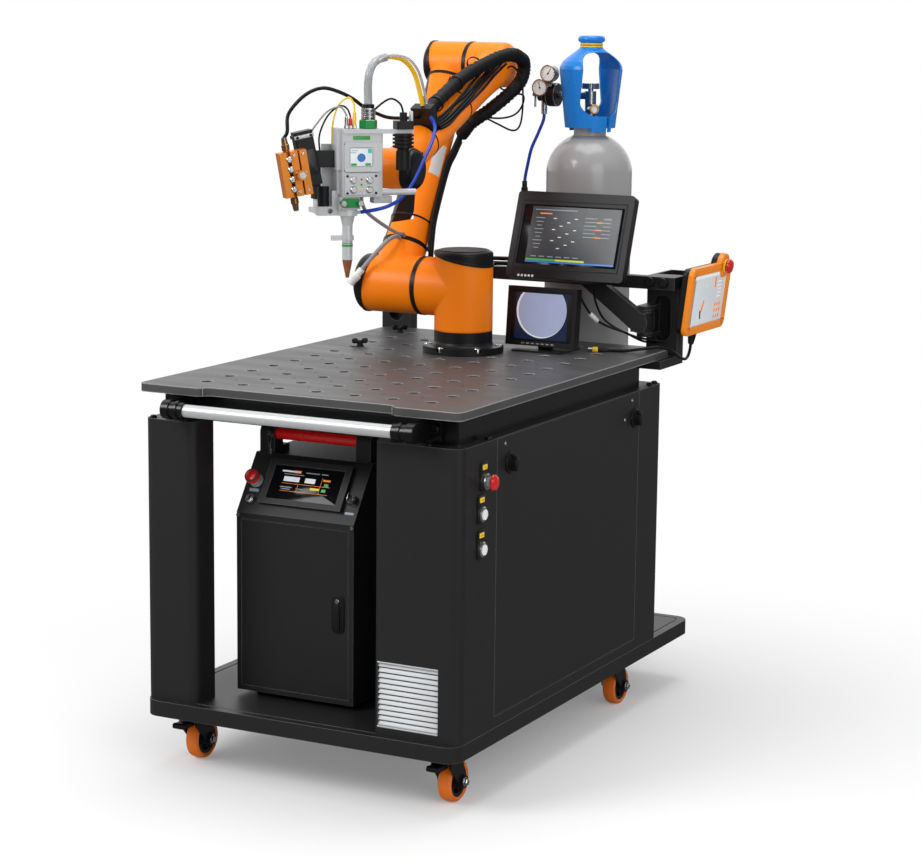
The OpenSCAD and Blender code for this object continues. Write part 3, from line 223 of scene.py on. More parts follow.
def make_materials():
    """Makes every finish of the station, each named for what it is."""
    look = bpy.context.scene.station_colours
    # Powder coat over cast aluminium: even colour, faint orange peel, broad soft highlights
    surface("orange_powder_coat", look.arm, 0.36, mottle=0.035, mottle_mm=260, grain_mm=2.4,
            grain_depth_mm=0.03, soft_edge_mm=7.0, specular=0.3)
    # Moulded ABS of the joint caps: spark-eroded grain, dull sheen
    surface("black_abs", linear("131314"), 0.4, grain_mm=0.9, grain_depth_mm=0.05, soft_edge_mm=2.0,
            specular=0.35)
    # Fine textured black powder coat on folded sheet, with a painted grey highlight along its edges
    surface("black_powder_coat", look.cart, 0.46, mottle=0.05, mottle_mm=400, grain_mm=1.1,
            grain_depth_mm=0.05, soft_edge_mm=1.8, edge_highlight=linear("6E6E70"))
    # Blackened and oiled steel plate: grey sheen with cloudy patches, and a painted pale highlight along its
    # edges where light catches the rim
    surface("blackened_steel", look.table, 0.44, mottle=0.22, mottle_mm=130, grain_mm=0.7,
            grain_depth_mm=0.015, rough_spread=0.14, soft_edge_mm=4.0, specular=0.4, stretch=(0.5, 2.5, 1),
            edge_highlight=linear("C4C5C6"))
    # Glossy black enamel of the frame under the plate: deep black with sharp highlights; the black is
    # darkened further as painted shade for the shadow that falls under the plate
    surface("gloss_black_with_painted_shade", linear("0C0C0D"), 0.24, mottle=0.1, mottle_mm=90, grain_mm=2.0,
            soft_edge_mm=2.0)
    # Ribbed rubber pad: dark grey with small glints
    surface("ribbed_rubber", linear("262627"), 0.3, mottle=0.15, mottle_mm=8, soft_edge_mm=0.3)
    # Drawn aluminium tube: fine lines along it
    surface("drawn_aluminium", linear("D2D3D4"), 0.42, metallic=0.55, mottle=0.05, grain_mm=1.0,
            grain_depth_mm=0.01, stretch=(0.02, 1, 1), soft_edge_mm=0.6)
    # Bead blasted and clear anodised aluminium: pale, even, dull
    surface("pale_anodised_aluminium", look.head, 0.45, metallic=0.25, mottle=0.03, mottle_mm=90,
            grain_depth_mm=0.012, soft_edge_mm=1.2)
    # Turned steel: bright, with fine rings left by the tool
    surface("turned_steel", linear("B9BBBD"), 0.26, metallic=1.0, mottle=0.1, mottle_mm=14,
            grain_depth_mm=0.012, stretch=(0.1, 0.1, 1), soft_edge_mm=0.5)
    # Bright turned aluminium of the nozzle: almost white, soft sheen
    surface("bright_aluminium", linear("D9DADB"), 0.34, metallic=0.4, mottle_mm=14,
            grain_depth_mm=0.012, stretch=(0.1, 0.1, 1), soft_edge_mm=0.5)
    # Copper heated by use: brown, with darker patches
    surface("heated_copper", linear("B87850"), 0.36, metallic=0.6, mottle=0.4, mottle_mm=18, soft_edge_mm=0.4)
    # Turned brass fittings: warm yellow metal, slightly stained
    surface("turned_brass", linear("B98A55"), 0.3, metallic=1.0, mottle=0.15, mottle_mm=10, soft_edge_mm=0.4)
    # Green and orange anodised aluminium: metal under dyed oxide
    surface("green_anodised", linear("1E8A44"), 0.36, metallic=0.45, mottle=0.05)
    surface("orange_anodised", linear("D9822C"), 0.34, metallic=0.55, mottle=0.08, mottle_mm=40)
    # Grey enamel sprayed on the bottle: smooth, slightly glossy
    surface("grey_enamel", look.bottle, 0.22, mottle=0.05, mottle_mm=300, grain_mm=3.0,
            grain_depth_mm=0.03, coat=0.2)
    # Blue injection moulded guard: glossy
    surface("blue_plastic", look.guard, 0.28, mottle=0.05, grain_mm=2.0, soft_edge_mm=3.0)
    # Cast polyurethane tyre: deep orange, slightly cloudy
    surface("orange_polyurethane", linear("DE6C06"), 0.4, mottle=0.08, mottle_mm=30, grain_mm=1.5)
    # Red enamel of grips and stop buttons: bright under a clear coat
    surface("red_enamel", linear("C81414"), 0.26, mottle=0.04, grain_mm=2.0, coat=0.3)
    # Moulded plastics of tags, cases, plugs and keys: even colour, soft sheen
    surface("yellow_plastic", linear("F4C60A"), 0.35, mottle=0.05, grain_mm=1.5)
    surface("orange_plastic", linear("F58A12"), 0.38, mottle=0.04, grain_mm=1.2, soft_edge_mm=2.5)
    surface("white_plastic", linear("E6E7E8"), 0.4, mottle=0.03, grain_mm=1.2)
    surface("grey_plastic", linear("8E9092"), 0.42, mottle=0.05, grain_mm=1.2)
    surface("green_plastic", linear("2E9A3C"), 0.35, mottle=0.05, grain_mm=1.2)
    surface("blue_key", linear("1D6FB0"), 0.3, mottle=0.1, mottle_mm=8, grain_mm=1.2)
    # Zinc plated screws and bolts: bright, slightly blotched
    surface("zinc_plate", linear("C6C7C6"), 0.24, metallic=1.0, mottle=0.1, mottle_mm=5, soft_edge_mm=0.3)
    # Blackened socket bolts: dark with a metal glint
    surface("black_oxide", linear("1D1D1E"), 0.3, metallic=0.5, mottle=0.15, mottle_mm=6, soft_edge_mm=0.4)
    # Rubber and plastic jackets of cables and hoses: dull black, glossy blue, satin yellow and grey
    surface("black_rubber", linear("0B0B0C"), 0.42, mottle=0.1, mottle_mm=20, specular=0.35)
    surface("blue_hose", linear("0C3FB4"), 0.3, mottle=0.08, mottle_mm=30, grain_mm=1.5)
    surface("yellow_jacket", linear("F2C40C"), 0.38, mottle=0.05, mottle_mm=20, grain_mm=1.5)
    surface("grey_jacket", linear("8F9193"), 0.45, mottle=0.08, mottle_mm=20, grain_mm=1.0)
    # Woven textile sleeve: coarse enough to show the weave
    surface("woven_sleeve", linear("0D0D0E"), 0.6, mottle=0.3, mottle_mm=3.0, grain_mm=1.6,
            grain_depth_mm=0.4, soft_edge_mm=0.5, specular=0.35)
    # Clear PVC hose: milky and see-through
    surface("clear_hose", linear("D5D8DA"), 0.18, mottle=0.03, grain_mm=2.0,
            sockets={"Transmission Weight": 0.55, "IOR": 1.45})
    # Steel laid bare at the rims of the holes
    surface("worn_edge", linear("8D8E90"), 0.3, metallic=0.8, mottle=0.25, mottle_mm=6)
    # Shade inside small bores and grooves
    surface("dark_bore", linear("111112"), 0.6, mottle=0.2, mottle_mm=5)
    # Blank foil of the type plate: pale, slightly silvery
    surface("bare_plate", linear("DADCDD"), 0.35, metallic=0.15, mottle=0.05, mottle_mm=20, grain_mm=1.0,
            soft_edge_mm=0.2)
    # Dial card of the gauges, matt white, and the dark foil on the feeder motor
    surface("dial_white", linear("F1F1EE"), 0.5, mottle=0.03, mottle_mm=10, grain_mm=1.0)
    surface("keypad_black", linear("1C1D1F"), 0.3, mottle=0.08, mottle_mm=12, grain_mm=1.0, soft_edge_mm=0.2)
    # Cover glass of the displays: dark and mirror smooth
    surface("black_glass", linear("0E0F12"), 0.1, mottle=0.1, mottle_mm=60, grain_mm=4.0, grain_depth_mm=0.0,
            rough_spread=0.02, soft_edge_mm=0.2, specular=0.3)
    # Lit display areas behind the glass: flat colours with a faint glow
    for name, code in (("white", "E4E8EC"), ("grey", "7F8891"), ("slate", "252C31"), ("navy", "14233F"),
                       ("pale_blue", "9EA8C8"), ("blue", "2C6FC4"), ("teal", "2AA79B"), ("green", "3FA34A"),
                       ("lime", "B9C63A"), ("yellow", "E8C531"), ("orange", "F08A1E"), ("light", "C8CED2")):
        colour = linear(code)
        surface("screen_" + name, colour, 0.25, mottle_mm=25, grain_mm=2.0, grain_depth_mm=0.0,
                soft_edge_mm=0.1, sockets={"Emission Color": (*colour, 1), "Emission Strength": 0.22})


NODE_FINISH = {
    "black_powder_coat": "deck left_columns cabinet service_panel rear_frame bottle_tray unit_shell "
                         "unit_console unit_door unit_handle pendant_holder monitor_arm",
    "black_abs": "control_buttons panel_latches small_monitor monitor shoulder_trim upper_arm_trim "
                 "forearm_trim wrist_1_cap wrist_2_cap feeder_motor vision_camera base_flange "
                 "caster_fork_fl caster_fork_fr caster_fork_rl caster_fork_rr",
    "gloss_black_with_painted_shade": "table_frame push_bar_brackets",
    "blackened_steel": "table_top",
    "drawn_aluminium": "push_bar",
    "pale_anodised_aluminium": "head_body head_panel tool_flange vent_grille",
    "turned_steel": "gas_regulator fibre_collimator",
    "bright_aluminium": "nozzle",
    "heated_copper": "nozzle_tip",
    "green_anodised": "lens_drawer",
    "orange_anodised": "wire_clamp",
    "grey_enamel": "gas_bottle",
    "blue_plastic": "bottle_guard",
    "orange_plastic": "pendant",
    "orange_powder_coat": "shoulder upper_arm forearm wrist_1 wrist_2",
    "orange_polyurethane": "caster_wheel_fl caster_wheel_fr caster_wheel_rl caster_wheel_rr",
    "black_rubber": "forearm_sleeve arm_cables base_cables head_hoses pendant_cable",
    "blue_hose": "gas_hose",
}


# Mesh helpers, in millimetres

CORNER_STEPS = 6
SHARP_RIM = 1.2


def soften(bm, edges, offset, segments):
    """Rounds edges off."""
    bmesh.ops.bevel(bm, geom=edges, offset=offset, segments=segments, profile=0.5, affect="EDGES",
                    material=-1)


def sharp_rims(bm):
    """The edges at which a shape turns sharply."""
    return [e for e in bm.edges if e.calc_length() and e.is_manifold and e.calc_face_angle(0) > SHARP_RIM]


def cut_off(bm, point, normal):
    """Cuts away what lies beyond a plane."""
    bmesh.ops.bisect_plane(bm, geom=bm.verts[:] + bm.edges[:] + bm.faces[:], plane_co=point, plane_no=normal,
                           clear_outer=True)


def block(low, high, soft=1.0):
    """A block between two corners with rounded edges."""
    bm = bmesh.new()
    low, high = Vector(low), Vector(high)
    size = high - low
    bmesh.ops.create_cube(bm, size=1.0)
    bmesh.ops.scale(bm, vec=size, verts=bm.verts)
    bmesh.ops.translate(bm, vec=(low + high) / 2, verts=bm.verts)
    if soft > 0:
        soften(bm, bm.edges[:], min(soft, min(size) * 0.45), 3)
    return bm


def turned(profile, at=(0, 0, 0), axis=UP, steps=40):
    """A round piece from radius and height pairs, turned about an axis."""
    bm = bmesh.new()
    verts = [bm.verts.new((r, 0, h)) for r, h in profile]
    edges = [bm.edges.new(pair) for pair in zip(verts, verts[1:])]
    bmesh.ops.spin(bm, geom=verts + edges, cent=(0, 0, 0), axis=UP, angle=2 * math.pi, steps=steps,
                   use_merge=True)
    bmesh.ops.remove_doubles(bm, verts=bm.verts, dist=0.001)
    bmesh.ops.recalc_face_normals(bm, faces=bm.faces)
    turn = Vector(UP).rotation_difference(Vector(axis)).to_matrix().to_4x4()
    bmesh.ops.transform(bm, matrix=Matrix.Translation(at) @ turn, verts=bm.verts)
    return bm


def plate(width, height, thick, radius, at=(0, 0, 0), normal=UP, up=(0, 1, 0), soft=0.5):
    """A flat plate with round corners, its middle at a point, facing along a normal."""
    bm = bmesh.new()
    bmesh.ops.create_cube(bm, size=1.0)
    bmesh.ops.scale(bm, vec=(width, height, thick), verts=bm.verts)
    if radius > 0:
        upright = [e for e in bm.edges if abs(e.verts[0].co.z - e.verts[1].co.z) > thick / 2]
        soften(bm, upright, radius, CORNER_STEPS)
    if soft > 0:
        soften(bm, sharp_rims(bm), min(soft, thick * 0.4), 2)
    bmesh.ops.transform(bm, matrix=facing(at, normal, up), verts=bm.verts)
    return bm


def tray(width, height, thick, radius, border, depth, at):
    """A plate that faces up, with round corners and a sunk field inside a border."""
    bm = plate(width, height, thick, radius, soft=0)
    top = max(bm.faces, key=lambda face: face.calc_center_median().z)
    bmesh.ops.inset_region(bm, faces=[top], thickness=border)
    bmesh.ops.inset_region(bm, faces=[top], thickness=0.4, depth=-depth)
    soften(bm, sharp_rims(bm), 1.2, 2)
    bmesh.ops.translate(bm, vec=at, verts=bm.verts)
    return bm


def screw(size, height, at, axis):
    """A socket head screw standing on a point."""
    r = size / 2
    profile = [(0, height * 0.45), (r * 0.5, height * 0.45), (r * 0.5, height), (r * 0.85, height),
               (r, height * 0.82), (r, 0), (0, 0)]
    return turned(profile, at, axis, 20)


def mushroom(size, height, at, axis):
    """A stop button's head, domed, standing on a point."""
    r = size / 2
    profile = [(0, height), (r * 0.55, height * 0.97), (r * 0.85, height * 0.82), (r, height * 0.5),
               (r, height * 0.12), (r * 0.9, 0), (0, 0)]
    return turned(profile, at, axis, 36)


def ring(inner, outer, low, high, at=(0, 0, 0), axis=UP, steps=40):
    """A flat ring with slightly broken edges."""
    b = min((outer - inner), (high - low)) * 0.2
    profile = [(inner, low), (outer - b, low), (outer, low + b), (outer, high - b), (outer - b, high),
               (inner, high), (inner, low)]
    return turned(profile, at, axis, steps)


def shell(radius, low, high, start, end, thick=0.8):
    """A thin curved plate on a round tube, between two heights and two angles."""
    bm = bmesh.new()
    turn = Matrix.Rotation(math.radians(start), 3, "Z")
    verts = [bm.verts.new(turn @ Vector((radius, 0, z))) for z in (low, high)]
    edge = bm.edges.new(verts)
    bmesh.ops.spin(bm, geom=verts + [edge], cent=(0, 0, 0), axis=UP, angle=math.radians(end - start),
                   steps=12)
    bmesh.ops.recalc_face_normals(bm, faces=bm.faces)
    bmesh.ops.solidify(bm, geom=bm.faces[:], thickness=thick)
    bmesh.ops.recalc_face_normals(bm, faces=bm.faces)
    return bm


class Piece:
    """Collects shapes in one frame, then becomes one object that rides on a body."""

    def __init__(self, name, body, place=WORLD):
        self.name = name
        self.body = body
        self.place = place
        self.bm = bmesh.new()
        self.finishes = []

    def put(self, part, finish, matrix=Matrix.Identity(4)):
        """Takes a shape over into the piece with a finish."""
        if finish not in self.finishes:
            self.finishes.append(finish)
        for face in part.faces:
            face.material_index = self.finishes.index(finish)
        mesh = bpy.data.meshes.new("part")
        part.to_mesh(mesh)
        part.free()
        mesh.transform(matrix)
        self.bm.from_mesh(mesh)
        bpy.data.meshes.remove(mesh)

    def spin(self, finish, profile, at=(0, 0, 0), axis=UP, steps=40):
        """Adds a turned shape."""
        self.put(turned(profile, at, axis, steps), finish)

    def tile(self, finish, width, height, at, thick=0.5, radius=0, soft=0):
        """Adds a plate that faces the front."""
        self.put(plate(width, height, thick, radius, at, FRONT, UP, soft), finish)

    def build(self, *nodes, slot=None, sharp=35):
        """Makes the object, and hides the nodes it stands for."""
        bmesh.ops.transform(self.bm, matrix=self.place, verts=self.bm.verts)
        mesh = bpy.data.meshes.new(self.name)
        self.bm.to_mesh(mesh)
        self.bm.free()
        for finish in self.finishes:
            mesh.materials.append(MATERIALS[finish])
        mesh.shade_smooth()
        mesh.set_sharp_from_angle(angle=math.radians(sharp))
        obj = bpy.data.objects.new(self.name, mesh)
        bpy.context.scene.collection.objects.link(obj)
        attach(obj, self.body)
        if nodes:
            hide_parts(*nodes)
        return obj


# Hose helpers, in metres

def smooth_route(points, steps=6):
    """A smooth line through the points, with steps between each two of them."""
    line = []
    last = len(points) - 1
    for i in range(last):
        a, b, c, d = (Vector(points[k]) for k in (max(i - 1, 0), i, i + 1, min(i + 2, last)))
        slope, bend, twist = c - a, 2 * a - 5 * b + 4 * c - d, 3 * b - a - 3 * c + d
        for k in range(steps):
            t = k / steps
            line.append(b + t / 2 * (slope + t * (bend + t * twist)))
    line.append(Vector(points[last]))
    return line


def metres(route):
    """A route in millimetres, in metres."""
    return [Vector(p) * MM for p in route]


def placed(place, route):
    """A route that is given in a piece's own frame, in metres."""
    return [place @ Vector(p) for p in route]


def route_length(line):
    """Length of a line of points."""
    return sum((b - a).length for a, b in zip(line, line[1:]))


def hose_mesh(name, line, diameter, finish, sides=4, wrinkle=0.0):
    """A round hose along a line, closed at both ends, as a mesh object."""
    curve = bpy.data.curves.new(name, "CURVE")
    curve.dimensions = "3D"
    spline = curve.splines.new("POLY")
    spline.points.add(len(line) - 1)
    for i, (point, co) in enumerate(zip(spline.points, line)):
        point.co = (*co, 1)
        point.radius = 1 - wrinkle * (1 + 0.6 * math.sin(2.1 * i) + 0.4 * math.sin(3.7 * i))
    curve.bevel_depth = diameter / 2
    curve.bevel_resolution = sides
    curve.use_fill_caps = True
    holder = bpy.data.objects.new(name + "_line", curve)
    bpy.context.scene.collection.objects.link(holder)
    bpy.context.view_layer.update()
    mesh = bpy.data.meshes.new_from_object(holder.evaluated_get(bpy.context.evaluated_depsgraph_get()))
    bpy.data.objects.remove(holder)
    bpy.data.curves.remove(curve)
    mesh.name = name
    mesh.materials.clear()
    mesh.materials.append(MATERIALS[finish])
    mesh.shade_smooth()
    obj = bpy.data.objects.new(name, mesh)
    bpy.context.scene.collection.objects.link(obj)
    return obj


def fixed_hose(name, line, diameter, finish, body, node=None, slot=None, sides=4, wrinkle=0.0):
    """A hose that rides on one body, and may stand for a node."""
    obj = hose_mesh(name, line, diameter, finish, sides, wrinkle)
    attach(obj, body)
    if node:
        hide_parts(node)
    return obj


def jointed_hose(name, route, diameter, finish, bodies, node=None,
                 shares=None, looks=None):
    """A hose that crosses joints, cut into one stretch for each joint between its bodies."""
    line = smooth_route(route)
    total = route_length(line)
    stretches = len(bodies) - 1
    shares = shares or [n / stretches for n in range(1, stretches)]
    looks = looks or [(diameter, finish)] * stretches
    cuts = [0]
    run = 0.0
    for i, (a, b) in enumerate(zip(line, line[1:]), 1):
        run += (b - a).length
        if len(cuts) < stretches and run >= total * shares[len(cuts) - 1]:
            cuts.append(i)
    cuts.append(len(line) - 1)
    for n, (a, b) in enumerate(zip(cuts, cuts[1:])):
        part = line[a : b + 1]
        diameter, finish = looks[n]
        obj = hose_mesh(f"{name}_{n + 1}", part, diameter, finish)
        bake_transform(obj)
        if node:
            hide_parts(node)


def piece_on_line(name, body, at, way):
    """A piece that stands on a point of a hose and lies along it."""
    way = way.normalized()
    return Piece(name, body, axes_at(at, way, way.orthogonal()))


# Routes of the hoses, in millimetres as in the part's source

FORE_ROUTE = [(12, 68, 419.7), (14, 68, 300), (20, 66, 200), (50, 66, 120), (75, 58, 60), (84, 32, 20)]
ELBOW_ROUTE = [(12, 0, 0), (8, -10, -39), (-10, -44, -74), (-48, -85, -117), (-90, -104, -150),
               (-124, -90, -182)]
FIBRE_ROUTE = [(-82, -119, 1573.1), (-82, -119.5, 1592), (-80, -124, 1622), (-76, -125, 1650),
               (-76, -103, 1674), (-76, -63, 1685), (-76, -8, 1687), (-76, 53, 1676), (-76, 99, 1648),
               (-74.5, 123, 1609), (-73, 140.8, 1566)]
CONDUIT_ROUTE = [(-211, -281, 1513.5), (-214, -272, 1552), (-205, -236, 1586), (-190, -203, 1607),
                 (-170, -174, 1614), (-145, -146, 1604), (-125, -118, 1588), (-109, -92, 1568),
                 (-100, -48, 1552), (-92, 0, 1540), (-84, 70, 1536), (-80, 135.7, 1536)]
BLUE_ROUTE = [(-44, 128, 1539), (-33, 130, 1520), (-25, 115, 1502), (-14, 78, 1475), (-9, 30, 1438),
              (-9, -22, 1388), (-16, -62, 1354), (-30, -99, 1335), (-54, -123, 1325), (-89, -142, 1318)]
SIGNAL_ROUTE = [(-95, -126, 1354.6), (-95.5, -124.5, 1342), (-101, -95, 1317), (-112, -20, 1288),
                (-130, 80, 1258), (-160, 180, 1238), (-185, 249, 1231), (-193, 270.4, 1222.6)]
PIGTAIL_ROUTE = [(-201.3, 262.6, 1217.6), (-206, 244, 1222.5), (-215, 222, 1213), (-230, 202, 1191),
                 (-248, 188, 1165), (-268, 178, 1138)]
BASE_ROUTE = [(-146, 366, 1155), (-139, 404, 1149.5), (-122, 480, 1144), (-96, 550, 1140),
              (-40, 585, 1138.2), (60, 585, 1138.2), (190, 585, 1138.2)]
GAS_ROUTE = [(-11, 718.5, 1525.7), (-13, 718, 1508), (-28, 717, 1472), (-46, 716, 1432), (-57, 716, 1387),
             (-64, 716, 1351), (-65, 716, 1322)]
PENDANT_ROUTE = [(459.5, 645, 944.6), (458, 644, 928), (458, 632, 914), (460, 608, 909), (460, 574, 917),
                 (450, 536, 938), (426, 505, 950), (392, 482, 945), (350, 464, 939.2), (310, 450, 939.2)]
LOOP_ROUTES = [
    [(-54, -34, -42), (-11, -34, -2), (16, -28, -30), (23, -27, -82), (21, -34, -148), (2, -39, -169),
     (-42, -44, -153), (-84, -56, -132)],
    [(-54, -36, -48), (-16, -34, -72), (26, -34, -76), (24, -34, -104), (2, -34, -128), (-36, -39, -138),
     (-84, -50, -136)],
]
SCREEN_LEAD = [(238, 420, 1088), (247, 432, 1058), (262, 462, 1020), (285, 492, 997), (325, 520, 979),
               (360, 556, 955), (380, 599.5, 948)]
MONITOR_LEAD = [(262, 452, 1112), (257, 472, 1082), (254, 496, 1050), (266, 516, 1012), (300, 532, 985),
                (350, 560, 962), (408, 599.5, 952)]
CAMERA_LEAD = [(105, 10, 114), (98, 14, 138), (75, 20, 150), (45, 28, 130), (32, 48, 105), (30, 58, 80)]
CABLE_ANGLES = (0, 15, 30, 45)
UPPER_TUBE_R = 53
CABLE_GAP = 0.85
SLEEVE_STEPS = 14
SLEEVE_LOOK = {"sides": 8, "wrinkle": 0.09}
FIBRE_SHARES = [0.4, 0.8]
SCREEN_LEAD_D = 6 * MM
HEAD_LEAD_D = 4.4 * MM
THIN_LEAD_D = 5 * MM
STRAND_D = 7 * MM
TOOL_TO_FOREARM = ["tool", "wrist_2_body", "wrist_1_body", "forearm_body"]


def cable_route(angle, diameter):
    """Route of one cable down the upper arm, at an angle round it."""
    c, s = math.cos(math.radians(angle)), math.sin(math.radians(angle))
    r = UPPER_TUBE_R + diameter / MM / 2 + CABLE_GAP
    return placed(UPPER, [(r * c + 14, r * s + 4, 428), (r * c + 8, r * s + 2, 390), (r * c, r * s, 340),
                          (r * c, r * s, 210), ((r + 6) * c, (r + 6) * s, 150),
                          ((r + 15) * c, (r + 15) * s, 96)])


# Operators

class StationOperator(bpy.types.Operator):
    """Shared options of the station's operators."""

    bl_options = {"REGISTER", "UNDO"}


class STATION_OT_camera(StationOperator):
    """Sets the camera at the photograph's viewpoint"""

    bl_idname = "station.camera"
    bl_label = "Camera"

    def execute(self, context):
        yaw, pitch, roll = (math.radians(a) for a in (CAMERA_YAW, CAMERA_PITCH, CAMERA_ROLL))
        back = Vector((math.sin(yaw) * math.cos(pitch), -math.cos(yaw) * math.cos(pitch), math.sin(pitch)))
        right = Vector((math.cos(yaw), math.sin(yaw), 0))
        up = back.cross(right)
        x = math.cos(roll) * right + math.sin(roll) * up
        y = -math.sin(roll) * right + math.cos(roll) * up
        data = bpy.data.cameras.new("station_camera")
        data.sensor_fit = "HORIZONTAL"
        data.sensor_width = SENSOR_MM
        data.lens = FOCAL_PX * SENSOR_MM / IMAGE_W
        data.clip_end = 100
        camera = bpy.data.objects.new("station_camera", data)
        camera.matrix_world = Matrix.Translation(CAMERA_AT) @ Matrix((x, y, back)).transposed().to_4x4()
        context.scene.collection.objects.link(camera)
        context.scene.camera = camera
        return {"FINISHED"}


class STATION_OT_stage(StationOperator):
    """Lays the pale floor and sets soft studio light"""

    bl_idname = "station.stage"
    bl_label = "Stage"

    def execute(self, context):
        scene = context.scene
        scene.view_settings.view_transform = "Standard"
        self.floor(scene)
        self.world(scene)
        self.lamps(scene)
        return {"FINISHED"}

    def floor(self, scene):
        """Floor that takes the shadow near the cart, fades to white away from it and mirrors dark."""
        bm = bmesh.new()
        bmesh.ops.create_grid(bm, x_segments=1, y_segments=1, size=40)
        mesh = bpy.data.meshes.new("floor")
        bm.to_mesh(mesh)
        bm.free()
        floor = bpy.data.objects.new("floor", mesh)
        scene.collection.objects.link(floor)
        material = bpy.data.materials.new("pale_floor")
        tree = empty_tree(material)
        matt = add(tree, "ShaderNodeBsdfDiffuse", {"Color": (*linear("F6F6F6"), 1)})
        glow = add(tree, "ShaderNodeEmission", {"Color": WHITE, "Strength": 1.0})
        dusk = add(tree, "ShaderNodeEmission", {"Color": WHITE, "Strength": 0.14})
        where = add(tree, "ShaderNodeTexCoord")
        ray = add(tree, "ShaderNodeLightPath")
        spot = add(tree, "ShaderNodeVectorMath", {1: (0.1, 0.1, 0)}, {0: where.outputs["Object"]},
                   operation="DISTANCE")
        far = add(tree, "ShaderNodeMapRange", {"From Min": 0.75, "From Max": 1.9, "To Min": 0.18},
                  {"Value": spot.outputs["Value"]}, interpolation_type="SMOOTHSTEP")
        fade = add(tree, "ShaderNodeMath", None,
                   {0: far.outputs["Result"], 1: ray.outputs["Is Camera Ray"]}, operation="MULTIPLY")
        cover = mix(tree, fade.outputs[0], matt, glow)
        shown = mix(tree, ray.outputs["Is Glossy Ray"], cover, dusk)
        add(tree, "ShaderNodeOutputMaterial", None, {"Surface": shown.outputs[0]})
        mesh.materials.append(material)

    def world(self, scene):
        """Even light all round, a bright wall at the left rear for mirrors, and white for the camera."""
        scene.world = bpy.data.worlds.new("studio")
        tree = empty_tree(scene.world)
        light = add(tree, "ShaderNodeBackground", {"Color": WHITE, "Strength": 0.62})
        white = add(tree, "ShaderNodeBackground", {"Color": WHITE, "Strength": 1.0})
        where = add(tree, "ShaderNodeTexCoord")
        ray = add(tree, "ShaderNodeLightPath")
        side = add(tree, "ShaderNodeVectorMath", {1: (-0.72, 0.69, 0)}, {0: where.outputs["Generated"]},
                   operation="DOT_PRODUCT")
        wall = add(tree, "ShaderNodeMapRange",
                   {"From Min": -0.1, "From Max": 0.97, "To Min": 0.1, "To Max": 1.3},
                   {"Value": side.outputs["Value"]}, interpolation_type="SMOOTHSTEP")
        mirrored = add(tree, "ShaderNodeBackground", {"Color": WHITE}, {"Strength": wall.outputs["Result"]})
        seen = add(tree, "ShaderNodeMath", None,
                   {0: ray.outputs["Is Camera Ray"], 1: ray.outputs["Is Transmission Ray"]},
                   operation="MAXIMUM")
        room = mix(tree, ray.outputs["Is Glossy Ray"], light, mirrored)
        shown = mix(tree, seen.outputs[0], room, white)
        add(tree, "ShaderNodeOutputWorld", None, {"Surface": shown.outputs[0]})

    def lamps(self, scene):
        """Three broad lamps that look at the table's height."""
        target = Vector((0, 0, 0.8))
        for name, place, power, size in (
            ("key", (-2.2, -3.6, 3.6), 110, 2.2),
            ("fill", (3.6, -2.6, 2.4), 45, 2.6),
            ("top", (0.2, 0.4, 4.2), 60, 2.4),
        ):
            lamp = bpy.data.lights.new(name, "AREA")
            lamp.energy = power
            lamp.size = size
            obj = bpy.data.objects.new(name, lamp)
            obj.location = place
            obj.rotation_euler = (target - Vector(place)).to_track_quat("-Z", "Y").to_euler()
            scene.collection.objects.link(obj)


